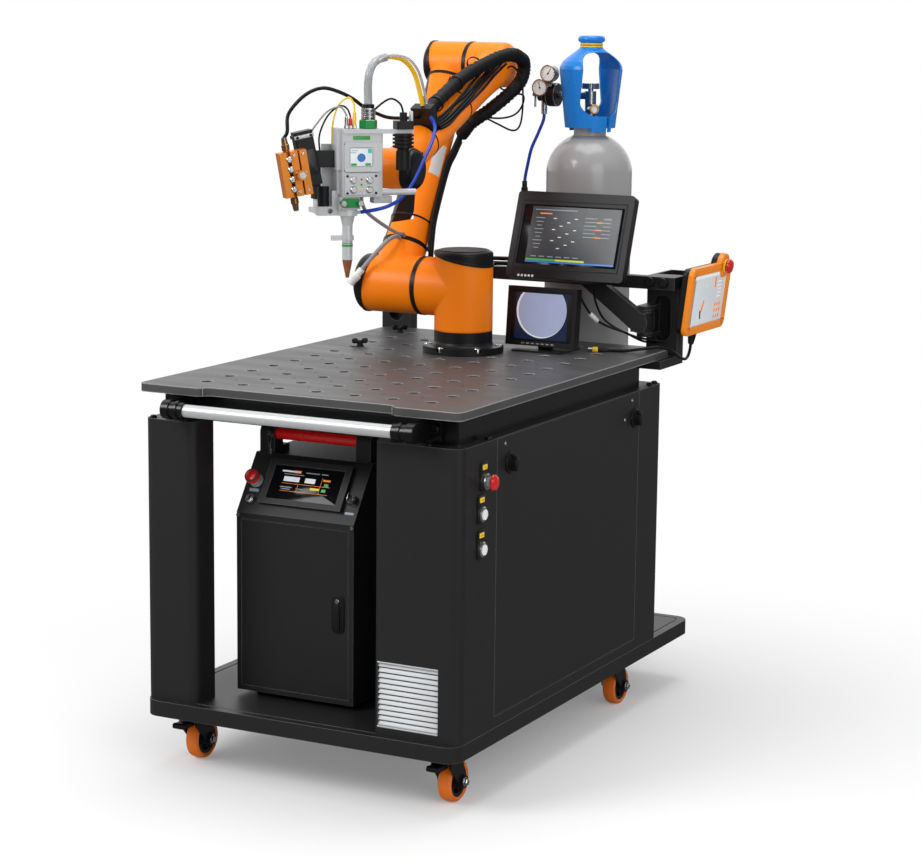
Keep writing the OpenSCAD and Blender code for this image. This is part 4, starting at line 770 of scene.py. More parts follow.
class STATION_OT_hoses(StationOperator):
    """Lays the dress pack, the hoses and the leads"""

    bl_idname = "station.hoses"
    bl_label = "Hoses"

    def execute(self, context):
        size = context.scene.station_sizes
        self.dress_pack(size)
        self.head_hoses(size)
        self.arm_leads(size)
        self.loose_cords(size)
        return {"FINISHED"}

    def dress_pack(self, size):
        """The sleeve along the forearm, its loop at the elbow and the cables down the upper arm."""
        fore = placed(FORE, FORE_ROUTE)
        line = smooth_route(fore + placed(ELBOW_FRAME, ELBOW_ROUTE), SLEEVE_STEPS)
        a, b = SLEEVE_STEPS * 4, SLEEVE_STEPS * (len(fore) + 4)
        fixed_hose("sleeve_forearm", line[: a + 1], size.sleeve, "woven_sleeve", "forearm_body",
                   "forearm_sleeve", "black_rubber", **SLEEVE_LOOK)
        turn = hose_mesh("sleeve_elbow", line[a : b + 1], size.sleeve, "woven_sleeve", **SLEEVE_LOOK)
        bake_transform(turn)
        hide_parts("arm_cables")
        fixed_hose("sleeve_upper_arm", line[b:], size.sleeve, "woven_sleeve", "upper_arm_body",
                   "arm_cables", "black_rubber", **SLEEVE_LOOK)
        for n, angle in enumerate(CABLE_ANGLES, 1):
            fixed_hose(f"upper_arm_cable_{n}", smooth_route(cable_route(angle, size.cable)), size.cable,
                       "black_rubber", "upper_arm_body", "arm_cables")

    def head_hoses(self, size):
        """The hoses and leads between the welding head and the arm."""
        fibre = metres(FIBRE_ROUTE)
        core = size.fibre * 0.58
        thin = core * 0.6
        jointed_hose("fibre_hose", fibre, size.fibre, "clear_hose", TOOL_TO_FOREARM, "head_hoses",
                     shares=FIBRE_SHARES,
                     looks=[(size.fibre, "clear_hose"), (core, "yellow_jacket"), (core, "yellow_jacket")])
        jointed_hose("fibre_core", fibre, core, "grey_jacket", TOOL_TO_FOREARM,
                     shares=FIBRE_SHARES,
                     looks=[(core, "grey_jacket"), (thin, "grey_jacket"), (thin, "grey_jacket")])
        beside = [p + Vector((0.010, 0.004, 0.004)) for p in fibre]
        jointed_hose("air_line", beside[4:], 7 * MM, "clear_hose", TOOL_TO_FOREARM[1:], "head_hoses")
        seat = HEAD @ STRAIGHTENER @ Vector((-10.5, 0, 87))
        jointed_hose("wire_conduit", [seat, *metres(CONDUIT_ROUTE)], size.hose, "black_rubber",
                     TOOL_TO_FOREARM, "head_hoses")
        jointed_hose("nozzle_gas_hose", metres(BLUE_ROUTE)[::-1], size.hose, "blue_hose", TOOL_TO_FOREARM,
                     "head_hoses")
        jointed_hose("signal_lead", metres(SIGNAL_ROUTE), size.hose, "grey_jacket",
                     TOOL_TO_FOREARM + ["upper_arm_body"], "head_hoses")
        line = smooth_route(metres(PIGTAIL_ROUTE))
        lead = fixed_hose("pigtail_lead", line, size.cable, "grey_jacket", "upper_arm_body", "arm_cables")
        plug = piece_on_line("pigtail_plug", "upper_arm_body", line[-1], line[-1] - line[-2])
        plug.spin("white_plastic", [(0, -3), (8, -3), (9, 0), (9, 14), (12, 17), (12, 30), (11, 32), (11, 44),
                                    (9, 46), (0, 46)])
        plug.build(slot="silver_paint")

    def arm_leads(self, size):
        """The bundle that runs from the arm's foot to the rear bar, and its clamp."""
        for n, (dy, dz) in enumerate(((-7, -6), (7, -7), (-6, 7), (6, 6)), 1):
            route = [p + Vector((0, dy, dz)) * MM for p in metres(BASE_ROUTE)]
            jointed_hose(f"arm_lead_{n}", route[:4], size.cable, "black_rubber",
                         ["upper_arm_body", "shoulder_body", "cart"], "base_cables")
            fixed_hose(f"arm_lead_on_bar_{n}", smooth_route(route[3:], 8), size.cable, "black_rubber", "cart",
                       "base_cables")
        clamp = Piece("bundle_clamp", "cart")
        clamp.put(block((165, 566, 1124), (205, 600, 1156), 3), "black_abs")
        clamp.put(screw(9, 4, (185, 575, 1156), UP), "zinc_plate")
        clamp.build(slot="black_plastic")

    def loose_cords(self, size):
        """The gas hose of the regulator and the pendant's lead, with what is at their ends."""
        line = smooth_route(metres(GAS_ROUTE))
        hose = fixed_hose("regulator_hose", line, size.hose, "blue_hose", "cart", "gas_hose")
        coupling = Piece("hose_coupling", "cart", axes_at(line[-1], (0, 0, -1)))
        coupling.spin("black_abs", [(0, -22), (6, -22), (7, -20), (7, -6), (9, -4), (9, 8), (6, 10), (6, 22),
                                    (4, 24), (0, 24)])
        end = coupling.build(slot="black_plastic")
        line = smooth_route(metres(PENDANT_ROUTE))
        thin = size.hose - MM
        lead = fixed_hose("pendant_lead", line, thin, "black_rubber", "cart", "pendant_cable")
        plug = piece_on_line("pendant_lead_plug", "cart", line[-1], line[-1] - line[-2])
        plug.spin("black_abs", [(0, -2), (5, -2), (6, 6), (7, 8), (7, 26), (0, 26)])
        plug.spin("yellow_plastic", [(0, 26), (7.5, 26), (8, 28), (8, 40), (0, 40)])
        plug.spin("turned_steel", [(0, 40), (6, 40), (6, 52), (0, 52)])
        plug.build(slot="black_plastic")


class STATION_OT_casters(StationOperator):
    """Makes the four caster wheels with tyre, spoked hub and axle bolts"""

    bl_idname = "station.casters"
    bl_label = "Casters"

    def execute(self, context):
        for corner in ("fl", "fr", "rl", "rr"):
            low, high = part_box("caster_wheel_" + corner)
            place = axes_at((Vector(low) + Vector(high)) / 2, RIGHT, (0, 1, 0))
            self.wheel(corner, place, (high[2] - low[2]) / 2 / MM, (high[0] - low[0]) / 2 / MM)
            self.axle(corner, place)
        return {"FINISHED"}

    def wheel(self, corner, place, radius, half):
        """Tyre, rim, hub, web and five spokes."""
        wheel = Piece("wheel_" + corner, "roller_" + corner, place)
        seat, rim, web = radius * 0.76, radius * 0.77, radius * 0.62
        wheel.spin("orange_polyurethane", [
            (seat, -half + 3), (radius - 7, -half), (radius - 2, -half + 4), (radius, -half + 12),
            (radius, half - 12), (radius - 2, half - 4), (radius - 7, half), (seat, half - 3),
            (seat, -half + 3)], steps=64)
        inner = radius * 0.6
        wheel.spin("black_abs", [(inner, -half + 5), (rim, -half + 4), (rim, half - 4), (inner, half - 5),
                                 (inner, -half + 5)], steps=48)
        wheel.spin("black_abs", [(7, -half + 2), (15, -half + 2), (17, -half + 5), (17, half - 5),
                                 (15, half - 2), (7, half - 2), (7, -half + 2)], steps=32)
        wheel.spin("black_abs", [(16, -4), (web, -4), (web, 4), (16, 4), (16, -4)])
        for n in range(5):
            spoke = block((14, -4, -half + 7), (radius * 0.63, 4, half - 7), 1.5)
            wheel.put(spoke, "black_abs", Matrix.Rotation(2 * math.pi * n / 5, 4, "Z"))
        wheel.build("caster_wheel_" + corner, slot="orange_tyre")

    def axle(self, corner, place):
        """Bolt head and washer on both sides of the fork."""
        low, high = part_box("caster_fork_" + corner)
        out = (high[0] - low[0]) / 2 / MM
        fork = Piece("caster_hardware_" + corner, "swivel_" + corner, place)
        for side in (-1, 1):
            fork.spin("zinc_plate", [(0, out + 1), (7, out + 1), (9, out - 1), (9, out - 5), (12, out - 6),
                                     (12, out - 8), (0, out - 8)], axis=(0, 0, side), steps=6)
            fork.put(ring(12, 16, out - 9, out - 6.5, axis=(0, 0, side)), "black_abs")
        fork.build(slot="caster_black")


class STATION_OT_table(StationOperator):
    """Adds worn hole rims, threaded holes and two wing screws to the table"""

    bl_idname = "station.table"
    bl_label = "Table"

    def execute(self, context):
        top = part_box("table_top")[1][2] / MM
        self.holes(top)
        self.wing_screws(top)
        return {"FINISHED"}

    def holes(self, top):
        """A rim at each fixture hole, and a small threaded hole in the middle of each square of four."""
        pitch = 100
        arm_clear = 130
        arm = SHOULDER / MM
        rims = Piece("hole_rims", "cart")
        for row in range(-5, 6):
            for column in range(-3, 4):
                at = Vector((column * pitch, row * pitch, top))
                if (at - arm).xy.length > arm_clear:
                    rims.spin("worn_edge", [(13.6, -1.2), (15.4, 0.12), (15.8, 0.02)], at, steps=28)
                cell = at + Vector((pitch / 2, pitch / 2, 0))
                if column < 3 and row < 5 and (cell - arm).xy.length > arm_clear:
                    rims.spin("dark_bore", [(0, 0.06), (3.4, 0.06), (3.8, 0.14), (4.6, 0.03)], cell, steps=14)
        rims.build(slot="table_black")

    def wing_screws(self, top):
        """Two black wing screws left on the table."""
        screws = Piece("wing_screws", "cart")
        for at in ((-290, 211, top), (-330, 500, top)):
            place = Matrix.Translation(at) @ Matrix.Rotation(0.7, 4, "Z")
            stem = turned([(0, 16), (6, 16), (8, 14), (8, 3), (11, 2), (11, 0), (0, 0)])
            screws.put(stem, "black_abs", place)
            for side in (-1, 1):
                screws.put(plate(16, 14, 4, 5, (side * 13, 0, 14), FRONT, UP, 1.2), "black_abs", place)
        screws.build(slot="black_plastic")


class STATION_OT_cart(StationOperator):
    """Adds controls, latches, bolts and the vent's slats to the cart"""

    bl_idname = "station.cart"
    bl_label = "Cart"

    def execute(self, context):
        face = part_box("cabinet")[1][0] / MM
        self.controls(face)
        self.latches(face)
        self.bolts()
        self.grille()
        return {"FINISHED"}

    def controls(self, face):
        """Stop button and two push buttons with their tags on the cabinet's side."""
        stop, buttons = (-475, 762), ((-487, 689), (-487, 608))
        piece = Piece("side_controls", "cart")
        for y, z in (stop, *buttons):
            piece.put(plate(42, 68, 2.4, 8, (face + 1.2, y, z + 12), RIGHT, UP), "black_abs")
            piece.put(plate(22, 12, 1.2, 2, (face + 2.8, y, z + 33), RIGHT, UP), "yellow_plastic")
            piece.put(plate(6, 3, 0.6, 0.5, (face + 3.6, y, z + 33), RIGHT, UP, 0), "grey_plastic")
        at = (face, *stop)
        piece.spin("zinc_plate", [(0, 12), (17, 12), (19, 10), (19, 0), (0, 0)], at, RIGHT)
        piece.spin("grey_plastic", [(0, 22), (10.5, 22), (10.5, 12), (0, 12)], at, RIGHT)
        piece.spin("red_enamel", [(0, 35), (8, 34.5), (13.5, 32.6), (17.2, 29), (18.4, 25.6), (17.4, 23),
                                  (11, 21), (0, 21)], at, RIGHT)
        for button in buttons:
            at = (face, *button)
            piece.spin("zinc_plate", [(0, 9.5), (15, 9.5), (18, 7), (18.5, 0), (0, 0)], at, RIGHT)
            piece.spin("white_plastic", [(0, 13), (9, 12.7), (12, 11.6), (12.6, 9), (0, 9)], at, RIGHT)
        piece.build("control_buttons", slot="black_plastic")

    def latches(self, face):
        """Two turning latches of the service panel, with the screws beside them."""
        z = 784
        piece = Piece("latch_knobs", "cart")
        for y, dots in ((-343, ((-24, 47),)), (373, ((-15, 46), (-60, 2)))):
            at = (face, y, z)
            piece.spin("black_abs", [(0, 5), (24, 5), (26, 3), (26, 0), (0, 0)], at, RIGHT, 8)
            piece.spin("black_abs", [(0, 21), (9, 21), (11, 19), (12, 5), (0, 5)], at, RIGHT)
            piece.put(plate(15, 38, 15, 6, (face + 13, y, z), RIGHT, UP, 2), "black_abs")
            for dy, dz in dots:
                piece.spin("zinc_plate", [(0, 1.6), (4, 1.6), (5, 0), (0, 0)], (face, y + dy, z + dz), RIGHT)
        piece.build(slot="black_plastic")

    def bolts(self):
        """Bolts on the rims of the cabinet and columns, the bar brackets and the rear frame."""
        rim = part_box("cabinet")[1][2] / MM
        piece = Piece("cart_bolts", "cart")
        for x, y in ((240, -566), (331, -570), (396, -556), (408, -430), (404, 505), (404, 538),
                     (-405, -568), (-330, -568), (-405, 568), (-330, 568)):
            piece.spin("black_oxide", [(0, 6), (5, 6), (8, 3.5), (8.5, 0.8), (11, 0.8), (11, 0), (0, 0)],
                       (x, y, rim), steps=20)
        for side in (-1, 1):
            piece.put(screw(24, 8, (side * 335, -550, 884), FRONT), "black_oxide")
            piece.put(screw(16, 6, (side * 351, -530, 884), (side, 0, 0)), "black_oxide")
        bar_depth = 30
        bar_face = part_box("table_top")[1][1] / MM - bar_depth
        for x in (373, 410):
            piece.spin("black_abs", [(0, 3), (6, 3), (6, 11), (11, 11), (13, 9), (13, 0), (0, 0)],
                       (x, bar_face, 1109), FRONT, 24)
        piece.build(slot="bright_steel")

    def grille(self):
        """Slanted slats with open ends, on a dark back."""
        low, high = (Vector(v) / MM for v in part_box("vent_grille"))
        piece = Piece("grille_slats", "cart")
        back = block((low.x + 3, high.y - 3, low.z + 2), (high.x - 3, high.y, high.z - 2), 0.5)
        piece.put(back, "dark_bore")
        count = 12
        pitch = (high.z - low.z - 4) / count
        half = pitch * 0.41
        for n in range(count):
            slat = block((low.x, -1.1, -half), (high.x, 1.1, half), 0.5)
            at = (0, (low.y + high.y) / 2 - 0.5, low.z + 2 + pitch * (n + 0.5))
            piece.put(slat, "pale_anodised_aluminium", tilted(at, -28, "X"))
        for z in (low.z + 1.5, high.z - 1.5):
            edge = block((low.x, low.y + 1, z - 1.5), (high.x, high.y, z + 1.5), 0.5)
            piece.put(edge, "pale_anodised_aluminium")
        piece.build("vent_grille", slot="silver_paint")


class STATION_OT_laser_unit(StationOperator):
    """Adds the console's screen and controls, the door latch and the carrying bar of the laser unit"""

    bl_idname = "station.laser_unit"
    bl_label = "Laser Unit"

    def execute(self, context):
        low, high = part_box("unit_shell")
        middle = (low[0] + high[0]) / 2
        front = low[1]
        console_foot, run, rise = 0.618, 90, 132
        slope = Matrix.Rotation(-math.atan2(run, rise), 4, "X")
        place = Matrix.Translation((middle, front, console_foot)) @ slope @ WORLD
        self.screen(place)
        self.controls(place)
        self.door_latch()
        self.case(middle / MM, front / MM)
        return {"FINISHED"}

    def screen(self, place):
        """Glass on the slope with a plain display: middle, width, height and colour of each field."""
        shrink = 0.82
        piece = Piece("unit_screen", "cart", place)
        piece.tile("black_glass", 190, 87, (7.5, -8.6, 84), 1.0, 2, 0.2)
        for x, z, width, height, colour in (
            (-52, 116, 60, 5, "white"), (-30, 116, 22, 8, "orange"), (20, 116, 44, 3, "grey"),
            (60, 116, 22, 3, "grey"), (-44, 92, 52, 15, "white"), (18, 92, 34, 15, "white"),
            (-40, 107, 66, 2, "grey"), (72, 98, 24, 6, "orange"), (74, 84, 14, 9, "green"),
            (70, 66, 14, 9, "green"), (40, 68, 30, 7, "yellow"), (-55, 66, 40, 3, "grey"),
            (-55, 60, 30, 3, "grey"), (-10, 64, 24, 2, "grey"), (7, 78, 160, 1, "orange"),
            (7, 54, 160, 1, "orange"), (56, 80, 1, 52, "orange"), (-18, 66, 1, 24, "orange"),
        ):
            at = (7 + (x - 7) * shrink, -9.2, 88 + (z - 84) * shrink)
            piece.tile("screen_" + colour, width * shrink, height * shrink, at)
        piece.build(slot="black_plastic")

    def controls(self, place):
        """Stop button, key switch and knob on the slope, with blank tags."""
        piece = Piece("unit_controls", "cart", place)
        piece.spin("grey_plastic", [(0, 22), (12, 22), (12.5, 4), (17, 2), (17, 0), (0, 0)], (-132, 0, 84),
                   FRONT)
        piece.put(mushroom(37, 15, (-132, -21, 84), FRONT), "red_enamel")
        piece.spin("zinc_plate", [(0, 9.5), (4, 9.5), (4, 11), (9.5, 10.5), (11, 9), (12.5, 3), (12.5, 0),
                                  (0, 0)], (-132, 0, 34), FRONT)
        piece.put(block((-133, -12.5, 28), (-131, -9, 40), 0.4), "black_abs")
        piece.spin("zinc_plate", [(0, 17.5), (6, 17.5), (8, 16), (11.6, 14), (12.4, 4), (14, 2), (14, 0),
                                  (0, 0)], (140, 0, 60), FRONT)
        piece.put(block((138.5, -32, 52), (141.5, -16, 68), 1.2), "zinc_plate")
        # The blank tags take the grey display finish, so they glow faintly: painted light on parts that are
        # no lamps
        piece.tile("screen_grey", 26, 8, (-132, -0.3, 60), 0.6, 1)
        piece.tile("screen_grey", 24, 6, (140, -0.3, 28), 0.6, 1)
        piece.build(slot="black_plastic")

    def door_latch(self):
        """Sunk latch with its lever and lock on the door."""
        x = 29.5
        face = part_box("unit_door")[0][1] / MM
        piece = Piece("unit_door_latch", "unit_door_body")
        piece.tile("black_abs", 34, 92, (x, face - 1.2, 400), 3, 14, 1)
        piece.tile("dark_bore", 20, 74, (x, face - 2.9, 398), 1, 9, 0.3)
        piece.tile("black_abs", 14, 62, (x, face - 4, 392), 6, 6, 2)
        piece.spin("zinc_plate", [(0, 4), (5, 4), (6, 3), (6, 0), (0, 0)], (x, face - 3, 432), FRONT)
        piece.build(slot="black_plastic")

    def case(self, x, front):
        """Two screws, the red sleeve of the carrying bar and the key that hangs on it."""
        piece = Piece("unit_hardware", "cart")
        for side in (-1, 1):
            piece.put(screw(9, 3, (x + side * 156, front, 611), FRONT), "zinc_plate")
        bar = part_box("unit_handle")[0]
        y, z = bar[1] / MM + 20, bar[2] / MM + 47
        piece.spin("red_enamel", [(0, -113), (15.6, -113), (15.6, 113), (0, 113)], (x, y, z), RIGHT)
        key_x = -212
        for part in (
            turned([(5, 0), (9, 0), (9, 2), (5, 2), (5, 0)], axis=FRONT),
            turned([(3, 0), (6, 0), (6, 2), (3, 2), (3, 0)], (0, 0, -12), FRONT),
            block((-3, -2, -48), (3, 0, -15), 0.6),
            block((3, -2, -46), (6, 0, -32), 0.5),
        ):
            piece.put(part, "zinc_plate", Matrix.Translation((key_x, y - 24, z - 4)))
        piece.put(screw(14, 5, (key_x, y - 20, z), FRONT), "zinc_plate")
        piece.build(slot="red_paint")


class STATION_OT_gas(StationOperator):
    """Makes the bottle, and adds the guard's band, the regulator's body, gauges and outlet cap"""

    bl_idname = "station.gas"
    bl_label = "Gas"

    def execute(self, context):
        low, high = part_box("gas_bottle")
        axis = Vector(((low[0] + high[0]) / 2, (low[1] + high[1]) / 2, high[2])) / MM
        self.bottle(low, high)
        self.guard_band(axis)
        self.regulator(axis)
        return {"FINISHED"}

    def bottle(self, low, high):
        """The bottle, straight up to a rounded shoulder and the neck ring."""
        centre = ((low[0] + high[0]) / 2 / MM, (low[1] + high[1]) / 2 / MM, 0)
        radius = (high[0] - low[0]) / 2 / MM
        foot, top = low[2] / MM, high[2] / MM
        neck, neck_r, dome, steps = top - 20, 43, 98, 14
        side = neck - dome
        rise = dome / math.sqrt(1 - (neck_r / radius) ** 2)
        profile = [(0, foot), (radius - 8, foot), (radius - 2, foot + 3), (radius, foot + 10), (radius, side)]
        limit = math.asin(dome / rise)
        for k in range(1, steps + 1):
            angle = limit * k / steps
            profile.append((radius * math.cos(angle), side + rise * math.sin(angle)))
        profile += [(neck_r, neck + 4), (neck_r, top), (0, top)]
        piece = Piece("bottle", "cart")
        piece.spin("grey_enamel", profile, centre, steps=96)
        piece.build("gas_bottle", slot="bottle_grey")

    def guard_band(self, axis):
        """Coloured rings round the neck of the valve guard."""
        band = Piece("guard_band", "cart")
        for z, h, colour in ((212, 4, "yellow"), (216.2, 2.4, "green"), (218.8, 4, "yellow")):
            band.put(ring(28.6, 30.2, z, z + h, axis), colour + "_plastic")
        band.build(slot="blue_plastic")

    def regulator(self, axis):
        """Black body and bonnet, two gauges, the valve's outlet cap."""
        centre = axis + Vector((-109, 0, 84))
        left = (-1, 0, 0)
        body = Piece("regulator_body", "cart")
        body.spin("black_abs", [(0, -15), (28, -15), (31.6, -11), (31.6, 9), (29, 12.6), (0, 12.6)], centre,
                  left)
        bonnet = [(0, 12), (23.6, 12), (23.6, 25), (21, 27)]
        for n in range(4):
            bonnet += [(17.8, 27 + 4 * n), (17.8, 29.6 + 4 * n), (16.2, 30 + 4 * n)]
        body.spin("black_abs", bonnet + [(14, 43), (0, 43)], centre, left)
        body.build(slot="black_plastic")
        for n, (x, z) in enumerate(((-25, 19), (-1, 57)), 1):
            gauge = Piece(f"gauge_{n}", "cart", axes_at((centre + Vector((x, -34, z))) * MM, FRONT))
            gauge.put(ring(19.5, 23.2, -22, 2.4), "zinc_plate")
            gauge.spin("dial_white", [(0, 0.6), (19.8, 0.6)])
            for k in range(11):
                tick = block((-0.4, 14.5, 0.6), (0.4, 17.8, 0.9), 0)
                gauge.put(tick, "black_abs", Matrix.Rotation(math.radians(135 - 27 * k), 4, "Z"))
            needle = block((-0.7, -5, 0.9), (0.7, 15, 1.3), 0)
            gauge.put(needle, "black_abs", Matrix.Rotation(0.9 - n * 0.7, 4, "Z"))
            gauge.spin("black_abs", [(0, 2), (2.4, 2), (2.4, 0.8), (0, 0.8)])
            gauge.build(slot="bright_steel")
        away = Vector((math.cos(math.radians(-50)), math.sin(math.radians(-50)), 0))
        cap = Piece("valve_outlet_cap", "cart")
        at = axis + Vector((0, 0, 50)) + away * 38
        cap.put(ring(8.5, 13, -6, 4, at, away), "turned_brass")
        cap.spin("dial_white", [(0, 1), (3, 1), (3, 0.6), (8.6, 0.6)], at, away)
        cap.build(slot="bright_steel")


class STATION_OT_screens(StationOperator):
    """Adds displays, the pendant's case and stop button and the leads behind the screens"""

    bl_idname = "station.screens"
    bl_label = "Screens"

    def execute(self, context):
        self.monitor()
        self.small_monitor()
        self.pendant()
        self.leads()
        return {"FINISHED"}

    def monitor(self):
        """Glass with a plain generic display, a row of keys and a groove round the glass."""
        place = tilted((0.190, 0.480, 1.220), -20, "X") @ WORLD
        piece = Piece("monitor_screen", "monitor_body", place)
        piece.tile("black_glass", 283, 159, (0, -16.6, 0), 1.0, 2, 0.2)
        piece.tile("screen_slate", 252, 150, (8, -17.2, 2), 0.4)
        rows = [("green", 84, 5, -74, -66), ("lime", 82, 5, 9, -66), ("blue", 250, 4, 8, -71.5)]
        for n in range(9):
            z = 46 - 10 * n
            rows.append(("grey", 26 - 6 * (n % 3), 2.2, -92, z))
            rows += [("white", 9, 2, -50 + 20 * k, z) for k in range(4) if (n + k) % 3 == 0]
        for n in range(6):
            z = 50 - 10 * n
            rows += [("grey", 34, 2.2, 52, z), ("grey", 22, 2.2, 98, z)]
            if n % 2:
                rows.append(("orange", 20, 2.6, 76, z))
        rows += [("grey", 120, 2.4, -50, 68), ("orange", 34, 3.4, -78, 58)]
        rows += [("grey", 16, 2.4, -96 + 24 * k, -57) for k in range(6)]
        for colour, width, height, x, z in rows:
            piece.tile("screen_" + colour, width, height, (x, -17.6, z), 0.4)
        for k in range(5):
            at = (-128 + 10 * k, -19, -111)
            piece.spin("white_plastic", [(0, 1), (3, 1), (3.6, 0), (0, 0)], at, FRONT, 16)
        for x, z, width, height in ((-148, 0, 3, 182), (148, 0, 3, 182), (0, 91, 299, 3), (0, -91, 299, 3)):
            piece.tile("dark_bore", width, height, (x, -19.2, z), 0.6, 0, 0.2)
        piece.build(slot="black_plastic")

    def small_monitor(self):
        """Navy display with a pale disc, and a row of keys."""
        place = tilted((0.158, 0.380, 0.947), -6, "X") @ WORLD
        piece = Piece("small_monitor_screen", "cart", place)
        piece.tile("black_abs", 171, 127, (0, -22.6, 76), 1.0, 1, 0.2)
        piece.tile("screen_navy", 148, 120, (0, -23.2, 77))
        rim = 71
        for radius, finish, lift in ((rim, "screen_white", 0.3), (68, "screen_pale_blue", 0.6)):
            disc = bmesh.new()
            bmesh.ops.create_circle(disc, cap_ends=True, segments=72, radius=radius)
            bmesh.ops.translate(disc, vec=(rim - radius, 0, 0), verts=disc.verts)
            cut_off(disc, (0, 44, 0), (0, 1, 0))
            piece.put(disc, finish, tilted((0, -23.4 - lift, 92), 90, "X"))
        for k in range(7):
            piece.tile("grey_plastic", 9, 3, (-48 + 14 * k, -24.4, 6), 1.4, 1, 0.4)
        piece.build(slot="black_plastic")

    def pendant(self):
        """Case, plain display, black back shell, stop button and cable gland of the teach pendant."""
        turn = Matrix(((0, 0, 1), (1, 0, 0), (0, 1, 0))).to_4x4()
        piece = Piece("pendant_case", "cart", tilted((0.490, 0.690, 1.061), 7, "Y") @ turn @ WORLD)
        lobe = (86, 80, 0)
        glass = -2.9
        piece.put(tray(270, 178, 14, 20, 21, 4, (0, 0, -7)), "orange_plastic")
        piece.spin("orange_plastic", [(0, 0), (29, 0), (31.5, -1), (32.5, -4), (32.5, -14), (0, -14)], lobe)
        piece.put(plate(226, 134, 0.8, 2, (0, 0, -3.5), soft=0.2), "screen_light")
        piece.put(plate(226, 8, 0.6, 1, (0, 62, glass), soft=0), "screen_white")
        piece.put(plate(9, 122, 0.6, 1, (-106, -4, glass), soft=0), "screen_grey")
        for row in range(3):
            for column in range(3):
                at = (56 + 16 * column, -54 + 16 * row, glass)
                piece.spin("screen_orange", [(0, 0.5), (4.4, 0.5), (4.6, 0)], at, steps=16)
        for k in range(5):
            piece.put(plate(24, 3, 0.6, 1, (72, 10 * k, glass), soft=0), "screen_white")
        for width, height, radius, x, y, lean, finish in (
            (10, 28, 3, 40, 40, (0, 1, 0), "screen_orange"),
            (9, 34, 4, -34, -18, (0.4, 0.9, 0), "screen_orange"),
            (7, 24, 3, -44, -40, (-0.3, 0.95, 0), "black_glass"),
        ):
            piece.put(plate(width, height, 0.6, radius, (x, y, glass), UP, lean, 0), finish)
        piece.put(plate(262, 170, 18, 18, (0, 0, -23), soft=3), "black_abs")
        piece.spin("black_abs", [(0, -32), (27, -32), (30, -29), (30, -14), (0, -14)], lobe)
        piece.spin("yellow_plastic", [(0, 5), (16.6, 5), (17.6, 3), (17.6, 0), (0, 0)], lobe)
        piece.spin("black_abs", [(0, 9), (11.6, 9), (11.6, 4), (0, 4)], lobe)
        piece.put(mushroom(38, 12, (86, 80, 7.5), UP), "red_enamel")
        gland = [(0, 0), (12.6, 0)]
        for n in range(7):
            r, z = 12.2 - n * 0.7, n * 4.3
            gland += [(r, 1 + z), (r, 3.4 + z), (10.6 - n * 0.7, 3.8 + z)]
        piece.spin("black_rubber", gland + [(6, 32), (0, 32)], (-45, -88.5, -16), FRONT)
        piece.build("pendant", slot="pendant_orange")
        bar = Piece("pendant_bracket", "cart")
        bar.put(block((452, 672, 1091), (480, 708, 1121), 2), "black_powder_coat")
        bar.build(slot="black_paint")

    def leads(self):
        """Leads of the two screens, which run to the right rear post."""
        line = smooth_route(metres(SCREEN_LEAD))
        lead = fixed_hose("small_monitor_lead", line, SCREEN_LEAD_D, "black_rubber", "cart", None,
                          "black_rubber")
        sleeve = piece_on_line("lead_sleeve", "cart", line[12], line[13] - line[11])
        sleeve.spin("white_plastic", [(0, -16), (5, -16), (6.5, -13), (6.5, 13), (5, 16), (0, 16)])
        sleeve.build(slot="silver_paint")
        jointed_hose("monitor_lead", metres(MONITOR_LEAD), SCREEN_LEAD_D, "black_rubber",
                     ["monitor_body", "monitor_arm_body", "cart"])


